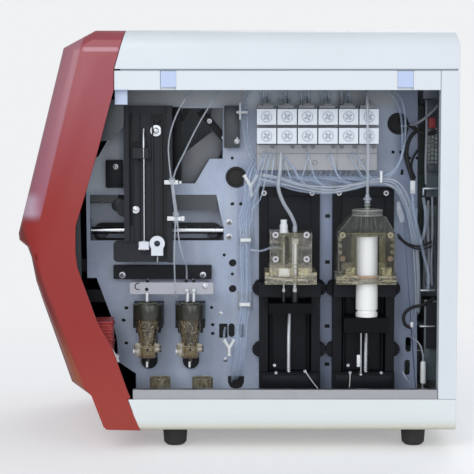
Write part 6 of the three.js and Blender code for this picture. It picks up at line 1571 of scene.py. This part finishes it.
@piece_in(CLEAR_TUBE)
def front_tubes(bm):
    """Thin tubes that leave the manifold's face in arcs and join the loom."""
    arcs = ((32, 311, 12, 262), (37, 311, 16, 250), (40, 309, 34, 279), (50, 303, 66, 274),
            (52, 306, 88, 271), (55, 300, 76, 280), (74, 312, 92, 276), (77, 308, 64, 282),
            (96, 308, 122, 277), (100, 311, 112, 283), (119, 308, 146, 281), (123, 311, 160, 278))
    for i, (x, z, end_x, end_z) in enumerate(arcs):
        lean = (end_x - x) / 6
        sweep(bm, [(x, -99.6, z), (x + lean * 0.3, -103, z - 3),
                   (x + lean * 1.4, -106, (z * 2 + end_z) / 3),
                   (x + lean * 3.2, -107.5, (z + end_z * 3) / 4 - 2),
                   (end_x, -107, end_z - 1.5 + i % 3)], 0.95, 8)
    for x, z in ((27, 309), (30, 313), (35, 308)):
        sweep(bm, [(x, -99.6, z), (x - 2, -103, z - 8), (x - 8, -102, z - 26),
                   (x - 16, -97, z - 48), (x - 20, -93, z - 74)], 1.0, 8)


@piece_in(CLEAR_TUBE)
def left_tube_bundle(bm):
    route = [(22, -88, 304), (13, -91, 286), (12, -92, 262), (8, -92, 242), (9, -92, 223),
             (9, -92, 190), (9, -92, 152), (5, -90, 118), (3, -86, 84), (0, -76, 64), (-1, -66, 58)]
    for i in range(5):
        shift = (2.3 * (i - 2), 1.5 * math.sin(i * 2.0), 1.5 * (i - 2))
        sweep(bm, strand_offsets(route, shift, 0.9, 20 + i), 1.25)
    upper = [(14, -84, 379), (9, -86, 366), (8, -88, 345), (12, -88, 318), (19, -88, 300)]
    for i in range(3):
        sweep(bm, strand_offsets(upper, (2.2 * (i - 1), 0.8 * i, 0), 0.8, 40 + i), 1.0)


@piece_in(CLEAR_TUBE)
def arch_tubes(bm):
    sweep(bm, [(165, -90, 380), (176, -96, 366), (180, -98, 345), (179, -100, 318),
               (172, -104, 296), (160, -107, 283), (146, -108, 279)], 1.3)
    sweep(bm, [(150, -90, 382), (163, -94, 374), (174, -95, 356), (177, -97, 330), (176, -100, 305),
               (166, -104, 290), (150, -107, 282)], 1.2)
    for shift in (0, 3, 6):
        sweep(bm, [(182 + shift, -98, 262), (184 + shift, -100, 240), (188 + shift, -98, 222),
                   (191 + shift, -94, 204)], 1.5)
    sweep(bm, [(187.5, -104, 270), (189, -105, 250), (193, -104, 232), (198, -102, 212),
               (203, -100, 192), (207, -98, 176), (206, -96, 160)], 1.6, 12)
    sweep(bm, [(200, -100, 262), (203, -99, 240), (201, -97, 222), (196, -96, 212), (192, -97, 224),
               (193, -98, 250)], 1.7)


@piece_in(CABLE)
def black_cables(bm):
    sweep(bm, [(196, -92, 336), (186, -95, 326), (182, -96, 312), (184, -98, 296),
               (188, -100, 281)], 2.2, 12)
    sweep(bm, [(198, -90, 316), (190, -94, 306), (187, -96, 294), (191, -99, 282)], 1.5)
    sweep(bm, [(173, -96, 222), (182, -100, 213), (196, -100, 209), (210, -96, 214)], 1.2)
    sweep(bm, [(173, -97, 219), (184, -101, 210), (198, -101, 206), (210, -97, 209)], 0.9)
    sweep(bm, [(214, -90, 152), (201, -97, 145.5), (190, -98, 143), (182.5, -98, 138),
               (180, -98, 131), (182, -98, 124), (188, -98, 120.5)], 1.9, 12)
    sweep(bm, [(176, -74, 344), (184, -86, 340), (194, -92, 334), (204, -92, 330), (214, -90, 332)],
          2.0, 12)
    sweep(bm, [(183, -90, 336), (179.5, -94, 322), (180, -96, 308), (184, -98, 292),
               (190, -99, 280)], 1.6)
    sweep(bm, [(206, -84, 366), (207, -84, 330), (206, -84, 290), (208, -84, 262)], 1.5)
    sweep(bm, [(211, -86, 366), (211.5, -86, 320), (211, -86, 286)], 1.1)


@piece_in(GREY_CABLE)
def grey_cables(bm):
    """The light cable that slants up to the post, and four upright ones beside the board."""
    sweep(bm, [(178, -80, 338), (190, -92, 340), (200, -98, 346), (209, -98, 354), (215, -98, 361)],
          1.5, 12)
    sweep(bm, [(202.6, -97, 366), (203, -97, 330), (202.4, -97, 300), (203, -96, 276)], 1.3)
    sweep(bm, [(206.4, -90, 258), (206, -92, 230), (207.4, -92, 200), (206.6, -90, 168)], 1.4)
    sweep(bm, [(210.6, -90, 262), (211, -92, 226), (210.2, -92, 190), (211.4, -90, 166)], 1.2)
    sweep(bm, [(205, -88, 150), (206.4, -90, 128), (205.4, -90, 100), (206, -88, 66)], 1.3)


@piece_in(MILKY_TUBE)
def loose_plug(bm):
    """A white plug that hangs beside the large pump."""
    slab(bm, [(172.2, 256), (175.4, 257.4), (178.6, 249), (181.6, 240), (180.4, 234.6),
              (176.4, 233.4), (174.2, 240), (172, 247)], "Y", -92, -89.6, 0.5)
    block(bm, (173.4, -93, 246), (177.2, -91.6, 252), 0.4)


@piece_in(WHITE_NYLON)
def cable_ties(bm):
    for low, high in (((-77, -126.6, 277.2), (-62, -122, 281.8)),
                      ((-74, -126.6, 238.8), (-58.5, -122, 243.4)),
                      ((152.2, -113.5, 278.5), (154.8, -103.5, 291.0)),
                      ((2.2, -93, 345), (4.4, -87, 363)), ((-0.8, -92, 351.5), (12, -86, 354.5)),
                      ((3.5, -96.5, 213.6), (15.2, -87, 217.4)),
                      ((2.6, -96.5, 143.6), (14.4, -87, 147.4))):
        block(bm, low, high, 0.7)
    block(bm, (-61, -127.2, 278), (-58.6, -123, 281), 0.5)
    block(bm, (-58.8, -127.8, 238.4), (-55.4, -122.6, 243.8), 0.8)


@piece_in(MILKY_TUBE)
def tie_mounts(bm):
    for low, high in (((1.6, -72.6, 207.5), (18, -70, 226.5)),
                      ((0.6, -72.6, 136.5), (17, -70, 156.5))):
        block(bm, low, high, 0.6)
        block(bm, (low[0] + 4, low[1] - 3, low[2] + 6), (high[0] - 4, low[1] + 0.4, high[2] - 6),
              0.8)


@piece_in(WHITE_NYLON)
def y_pieces(bm):
    for x, y, z, reach in ((15, -93, 273.5, 1.15), (-8.5, -84, 96, 0.9)):
        bar(bm, [(x, y, z - 9 * reach), (x, y, z)], 2.1, 12)
        bar(bm, [(x, y, z - 0.5), (x - 6 * reach, y, z + 10 * reach)], 2.0, 12)
        bar(bm, [(x, y, z - 0.5), (x + 6 * reach, y, z + 10 * reach)], 2.0, 12)
        for dx, dz in ((0, -9), (-6, 10), (6, 10)):
            lathe(bm, [(2.6, -1.2), (2.6, 0.2), (2.0, 0.9)], (x + dx * reach, y, z + dz * reach),
                  (dx, 0, dz), 12)


@piece_in(CLEAR_TUBE)
def low_left_tubes(bm):
    sweep(bm, [(-8.5, -84, 86), (-8, -80, 74), (-4, -72, 62), (-3, -64, 56)], 1.6)
    sweep(bm, [(-14, -84, 106), (-14, -83, 113), (-13, -74, 117)], 1.4)
    sweep(bm, [(-2, -84, 106), (1, -86, 118), (4, -90, 132), (5, -92, 150)], 1.4)
    sweep(bm, [(13.9, -94, 205), (26, -96, 204), (38, -98, 208), (47, -104, 208)], 1.3)


# Oval holes in the plate as flat slabs of painted shade.
@piece_in(HOLE_SHADE)
def plate_ovals(bm):
    slab(bm, rounded(-9.4, -2.6, 106.5, 121.5, 3.3), "Y", *DARK_SKIN)
    slab(bm, rounded(2.4, 8.2, 105.5, 121.0, 2.8), "Y", *DARK_SKIN)
    slab(bm, rounded(-19.6, -10.4, 105.6, 121.2, 0.8), "Y", *DARK_SKIN)


# Right strip: board edge, plugs and brackets in front of the rear post


@piece_in(SIDE_BOARD)
def side_board(bm):
    block(bm, (204, -88, 262), (216.5, -86.6, 366), 0.2)
    block(bm, (203, -80, 158), (216.5, -78.6, 252), 0.2)
    block(bm, (203, -92, 62), (216.5, -90.6, 150), 0.2)


@piece_in(STRIP_PALE)
def strip_top(bm):
    """The sheet above the side board."""
    block(bm, (200.5, -84, 367), (217, -82.6, 389), 0.4)


@piece_in(PART_GREY)
def side_board_parts(bm):
    spread = random.Random(11)
    for column in (206.5, 210.5, 214.3):
        z = 298.0
        while z < 334:
            height = spread.choice((1.4, 2.2, 3.4))
            block(bm, (column - 1.2, -90.2, z), (column + 1.1, -88, z + height), 0.15, 1)
            z += height + spread.uniform(0.8, 2.2)


@piece_in(STRIP_GREY)
def side_board_blocks(bm):
    block(bm, (203.6, -94, 289.5), (215.4, -87.6, 296.2), 0.4)
    block(bm, (205, -92, 346), (214, -87.6, 352), 0.4)
    for i in range(4):
        block(bm, (204.5, -83, 166 + 21 * i), (214.5, -79.6, 178 + 21 * i), 0.4)


@piece_in(PLUG_RED)
def red_plug(bm):
    block(bm, (205.4, -96, 336), (212.6, -87.6, 347), 0.5)
    for i in range(4):
        block(bm, (206 + 1.7 * i, -96.5, 337.4), (206.9 + 1.7 * i, -95.8, 345.6), 0.1, 1)


@piece_in(ALUMINIUM)
def strip_brackets(bm):
    block(bm, (200, -98, 270.4), (217, -90, 272.2), 0.3)
    block(bm, (199.6, -98, 264), (201.2, -90, 272.2), 0.3)
    for z in (161, 121.8):
        block(bm, (198, -97, z - 0.7), (214, -88, z + 0.9), 0.3)


@piece_in(WHITE_NYLON)
def white_plugs(bm):
    block(bm, (185.6, -104, 266), (190.8, -99, 280), 0.5)
    lathe(bm, [(1.4, 0), (2.9, 1.2), (2.9, 23), (2.2, 24.6), (1.1, 25)], (201.5, -100, 59.5), UP,
          20)
    block(bm, (187.4, -100.6, 121.4), (190.6, -96.4, 127), 0.5)


@piece_in(MILKY_TUBE)
def plug_wire(bm):
    sweep(bm, [(201.5, -100, 84), (201, -100, 92), (198, -98, 102), (193, -92, 107),
               (188, -78, 108)], 0.9, 8)
    sweep(bm, [(180, -92, 72), (184, -94, 64), (190, -92, 57)], 0.8, 8)
    sweep(bm, [(201.5, -100, 60), (201, -99, 56), (205, -96, 50)], 0.9, 8)


# Baths


@piece_in(COLLAR_OLIVE)
def bath_collars(bm):
    """Round collars that hold the baths' tops."""
    for x in BATH_X:
        outer = [(x + dx, BATH_Y + 2 + dy) for dx, dy in around(15.7, 24, 1, 2)]
        inner = [(x + dx, BATH_Y + dy) for dx, dy in around(12.5, 24, 1, 2)]
        near_end = [(x - 15.7, -99.6), *outer, (x + 15.7, -99.6)]
        far_end = [(x + 12.5, -99.6), *reversed(inner), (x - 12.5, -99.6)]
        slab(bm, near_end + far_end, "Z", 131.6, 147.6, 0.3)


@piece_in(RIM_OLIVE)
def bath_rims(bm):
    for x in BATH_X:
        hoop(bm, (x, BATH_Y, 148.6), 9.6, 0.7, 32)


@piece_in(CLEAR_BLOCK)
def bath_side_blocks(bm):
    for x in BATH_X:
        block(bm, (x - 13.4, -117, 91.8), (x - 6.2, -109, 106.6), 1.0)
        block(bm, (x + 7.2, -117, 96.4), (x + 13.2, -110, 106.2), 1.0)


@piece_in(AMBER)
def bath_trim(bm):
    """Amber ribs and lower blocks of the two baths."""
    for x in BATH_X:
        for side in (-1, 1):
            for k in range(3):
                reach = 3.0 + 2.6 * k
                sweep(bm, [(x + side * reach, -117.5 + 0.5 * k, 132),
                           (x + side * reach * 0.82, -115.6 + 0.4 * k, 118),
                           (x + side * reach * 0.66, -114 + 0.3 * k, 106)], 0.6, 8)
        block(bm, (x - 7.6, -117, 90), (x + 8.8, -108, 104), 1.4)
        block(bm, (x - 5.2, -119, 92.6), (x + 6.4, -116, 102), 0.9)


@piece_in(WHITE_NYLON)
def bath_fittings(bm):
    for x in BATH_X:
        lathe(bm, [(2.9, 0), (2.9, 2.0), (2.1, 2.6), (2.1, 5.0), (2.7, 5.6), (2.7, 6.8)],
              (x - 8.4, -113, 97), TO_FRONT, 16)
        lathe(bm, [(1.7, 0), (1.7, 3.0), (1.1, 3.6), (1.1, 5.4)], (x + 7.6, -113, 99.4), TO_REAR,
              14)
        lathe(bm, [(1.2, 0), (1.2, 6)], (x - 0.4, -113, 80), UP, 12)


# The baths' port openings as discs of painted shade.
repeated("bath_ports", disc(1.5, 0.5), HOLE_SHADE, [(-95.6, -118.8, 99.6), (-50.2, -118.8, 99.6)])


# Rear, far side and display


def facing(direction, radius, height, washer=1.4):
    """A pan-head screw that looks along the direction."""
    def form(bm):
        lathe(bm, [(radius * washer, -0.3), (radius * washer, 0.2), (radius, 0.3),
                   (radius, height * 0.6), (radius * 0.7, height * 0.94), (radius * 0.4, height),
                   (radius * 0.36, height * 0.5), (0, height * 0.45)], ORIGIN, direction, 20,
              (4, 5))
    return form


SCREW_SINK = 0.8
REAR_SCREWS = [(REAR_X - SCREW_SINK, y, z) for z in (52, 218, 384) for y in (-138, 8, 150)]
FAR_SCREWS = [(x, FAR_Y - SCREW_SINK, z) for z in (52, 384) for x in (-100, 52, 214)]
repeated("rear_screws", facing(TO_REAR, 2.6, 0.7, 1.4), SCREW_STEEL, REAR_SCREWS, ANY_TURN, TO_REAR,
         seed=21)
repeated("far_screws", facing(TO_FAR_SIDE, 2.6, 0.7, 1.4), SCREW_STEEL, FAR_SCREWS, ANY_TURN,
         TO_FAR_SIDE, seed=22)
FAN_Y, FAN_Z = 66, 306.6


@piece_in(SCREW_STEEL)
def fan_guard(bm):
    """Round wires over the fan opening and the four spokes that carry them."""
    for radius in (7, 12.5, 18, 23.5):
        wire = [(228.1, FAN_Y + dy, FAN_Z + dz) for dy, dz in around(radius, 40)]
        bar(bm, wire, 0.6)
    for i in range(4):
        turn = math.pi * (0.25 + i / 2)
        bar(bm, [(227.5, FAN_Y + 4 * math.cos(turn), FAN_Z + 4 * math.sin(turn)),
                 (227.5, FAN_Y + 29 * math.cos(turn), FAN_Z + 29 * math.sin(turn))], 0.7)
    lathe(bm, [(5.4, 0), (5.4, 0.8), (4.8, 1.2), (0, 1.2)], (227.2, FAN_Y, FAN_Z), TO_REAR, 28)


repeated("fan_screws", facing(TO_REAR, 2.2, 0.7, 1.3), SCREW_STEEL,
         [(REAR_X - SCREW_SINK, FAN_Y + 25 * y, FAN_Z + 25 * z) for y in (-1, 1) for z in (-1, 1)],
         ANY_TURN, TO_REAR, seed=23)
LOUVRES = [(REAR_X - HEAD_ROOM, -84, 252 + 9 * i) for i in range(11)]


def louvre(bm):
    """A pressed slat that lets air out, its lower lip open."""
    slab(bm, rounded(-34, 34, 0, 3.4, 1.6), "X", -0.3, 0.6, 0.2)


def louvre_shade(bm):
    block(bm, (-0.2, -32, -1.3), (0.15, 32, 0.1), 0.05, 1)


repeated("rear_louvres", louvre, WHITE, LOUVRES)
repeated("rear_louvre_gaps", louvre_shade, HOLE_SHADE, LOUVRES)


@piece_in(BLACK)
def rear_collars(bm):
    """Four flat strips round the power inlet, and four round the fluid ports."""
    for node, width in (("power_inlet", 2.6), ("fluid_ports", 2.2)):
        low, high = corners(node)
        y0, y1, z0, z1 = low.y - width, high.y + width, low.z - width, high.z + width
        for start_y, end_y, start_z, end_z in ((y0, y1, z0, low.z), (y0, y1, high.z, z1),
                                               (y0, low.y, low.z, high.z),
                                               (high.y, y1, low.z, high.z)):
            block(bm, (228.1, start_y, start_z), (228.95, end_y, end_z), 0.15)


@piece_in(PALE_BRASS)
def inlet_pins(bm):
    """The power inlet's three blades."""
    _, y, z = middle_of("power_inlet")
    for side, low, high in ((0, z - 10.6, z - 6.0), (-7, z - 16.4, z - 11.8),
                            (7, z - 16.4, z - 11.8)):
        block(bm, (209, y + side - 1, low), (222, y + side + 1, high), 0.4)


@piece_in(WHITE_NYLON, BODY_OF["power_switch"])
def rocker_marks(bm):
    """The line and the ring that stand for on and off."""
    low, high = corners("power_switch")
    _, middle_y, middle_z = middle_of("power_switch")
    half = (high.z - low.z) / 2

    def face_x(z):
        return high.x - 1.2 * (1 - abs(z - middle_z) / half) + 0.1

    top, bottom = middle_z + half * 0.52, middle_z - half * 0.52
    bar(bm, [(face_x(top - 1.6), middle_y, top - 1.6), (face_x(top + 1.6), middle_y, top + 1.6)],
        0.35)
    ring_places = [(middle_y + dy, bottom + dz) for dy, dz in around(1.6, 24)]
    bar(bm, [(face_x(z), y, z) for y, z in ring_places], 0.3)


def port_nut(bm):
    lathe(bm, [(5.2, 0), (5.2, 4.4), (4.6, 5.0), (3.2, 5.0)], ORIGIN, TO_REAR, 24, (0, 1, 2))
    lathe(bm, [(3.7, 5.0), (3.7, 7.4), (3.2, 8.2), (3.7, 9.0), (3.2, 10.4)], ORIGIN, TO_REAR, 20)


_, PORTS_Y, PORTS_Z = middle_of("fluid_ports")
NUT_COLOURS = {"red": linear(170, 52, 50), "blue": linear(52, 92, 160),
               "green": linear(64, 132, 88), "yellow": linear(206, 172, 66)}
for index, (colour_name, colour) in enumerate(NUT_COLOURS.items()):
    nut_finish = moulded(colour_name + " port nut", "light_plastic", colour, roughness=0.4)
    nut_place = (209.5, PORTS_Y + 14 * (index - 1.5), PORTS_Z)
    repeated(colour_name + "_port_nut", port_nut, nut_finish, [nut_place])


# Display: a fine line round the glass and a status light, laid on the tilted frame


def display_face():
    """The middle of the frame's outer face in millimetres, its normal and its upward direction."""
    mesh = frame["nodes"]["display_frame"].data
    faces = [face for face in mesh.polygons if face.normal.x < -0.5 and abs(face.normal.y) < 0.1]
    outer = max(faces, key=lambda face: face.normal.dot(face.center))
    normal = outer.normal.copy()
    upward = normal.cross(Vector(TO_FAR_SIDE))
    if upward.z < 0:
        upward.negate()
    x, _, z = middle_of("display_frame")
    middle = Vector((x, 0, z))
    middle += normal * (outer.center / MM - middle).dot(normal)
    return middle, normal, upward.normalized()


FACE_MIDDLE, FACE_NORMAL, FACE_UP = display_face()


def on_face(across, up, proud=0.0):
    return FACE_MIDDLE + Vector((0, across, 0)) + FACE_UP * up + FACE_NORMAL * proud


@piece_in(STRIP_GREY)
def bezel_line(bm):
    wide, high = 109.6, 71.2
    loop = [on_face(wide, high), on_face(-wide, high), on_face(-wide, -high), on_face(wide, -high),
            on_face(wide, high)]
    for first, second in zip(loop, loop[1:]):
        bar(bm, [first, second], 0.35)


@piece_in(STATUS_GREEN)
def status_light(bm):
    lathe(bm, [(1.9, -0.6), (1.9, 0.1), (1.4, 0.45), (0, 0.55)], on_face(-100, -79.5), FACE_NORMAL,
          20)


# Stage: pale floor, pale world, soft lamps


FLOOR_GLOW = 0.34
WORLD_LEVEL = 0.42
LAMPS = [
    ("key lamp", (-0.9, -2.1, 1.5), 1.6, 25, (1.0, 0.99, 0.97)),
    ("fill lamp", (1.3, -1.9, 0.7), 1.4, 9, (0.94, 0.97, 1.0)),
    ("front lamp", (0.0, -2.6, 0.45), 1.2, 8, (0.95, 0.98, 1.0)),
    ("back lamp", (0.6, 1.6, 1.6), 1.5, 12, (1.0, 1.0, 1.0)),
]


def add_floor():
    """Pale paper that glows for what sees it, and keeps the object's shadow."""
    bm = bmesh.new()
    bmesh.ops.create_grid(bm, x_segments=2, y_segments=2, size=6)
    mesh = bpy.data.meshes.new("floor")
    bm.to_mesh(mesh)
    bm.free()
    floor = bpy.data.objects.new("floor", mesh)
    floor.location = (0, 0, -0.0005)
    bpy.context.scene.collection.objects.link(floor)
    paper = Finish("floor paper", "floor", Metallic=0.0, Roughness=0.7)
    paper.set("Base Color", paper.mixed(paper.noise(1.5, 2), linear(226, 228, 230),
                                        linear(232, 233, 235)))
    reach = paper.node("ShaderNodeVectorMath", {"operation": "LENGTH"}, {0: paper.spot()}, "Value")
    paper.set("Alpha", 1 - reach.step(0.4, 1.0))
    rays = ("Is Camera Ray", "Is Glossy Ray", "Is Transmission Ray")
    path, glossy, through = (paper.node("ShaderNodeLightPath", {}, {}, ray) for ray in rays)
    paper.set("Emission Strength", FLOOR_GLOW)
    seen = path + glossy + through
    paper.set("Emission Color", paper.mixed(seen.clamped(0.0, 1.0), (0.0, 0.0, 0.0),
                                            linear(238, 239, 242)))
    floor.data.materials.append(paper.material)


def add_world():
    world = bpy.data.worlds.new("studio")
    bpy.context.scene.world = world
    world.use_nodes = True
    tree = world.node_tree
    tree.nodes.clear()
    output = tree.nodes.new("ShaderNodeOutputWorld")
    path = tree.nodes.new("ShaderNodeLightPath")
    seen = tree.nodes.new("ShaderNodeMath")
    seen.operation = "MAXIMUM"
    tree.links.new(path.outputs["Is Camera Ray"], seen.inputs[0])
    tree.links.new(path.outputs["Is Transmission Ray"], seen.inputs[1])
    mix = tree.nodes.new("ShaderNodeMixShader")
    light = tree.nodes.new("ShaderNodeBackground")
    light.inputs["Color"].default_value = (0.93, 0.96, 1.0, 1)
    light.inputs["Strength"].default_value = WORLD_LEVEL
    shown = tree.nodes.new("ShaderNodeBackground")
    shown.inputs["Color"].default_value = (*linear(240, 241, 243), 1)
    shown.inputs["Strength"].default_value = 1.0
    tree.links.new(seen.outputs[0], mix.inputs[0])
    tree.links.new(light.outputs[0], mix.inputs[1])
    tree.links.new(shown.outputs[0], mix.inputs[2])
    tree.links.new(mix.outputs[0], output.inputs[0])


def add_lamps():
    for name, place, size, power, colour in LAMPS:
        data = bpy.data.lights.new(name, "AREA")
        data.shape = "DISK"
        data.size = size
        data.energy = power
        data.color = colour
        lamp = bpy.data.objects.new(name, data)
        lamp.location = place
        lamp.rotation_euler = (Vector((0, 0, 0.2)) - Vector(place)).to_track_quat("-Z",
                                                                                  "Y").to_euler()
        bpy.context.scene.collection.objects.link(lamp)


add_floor()
add_world()
add_lamps()
bpy.context.scene.view_settings.view_transform = "Standard"
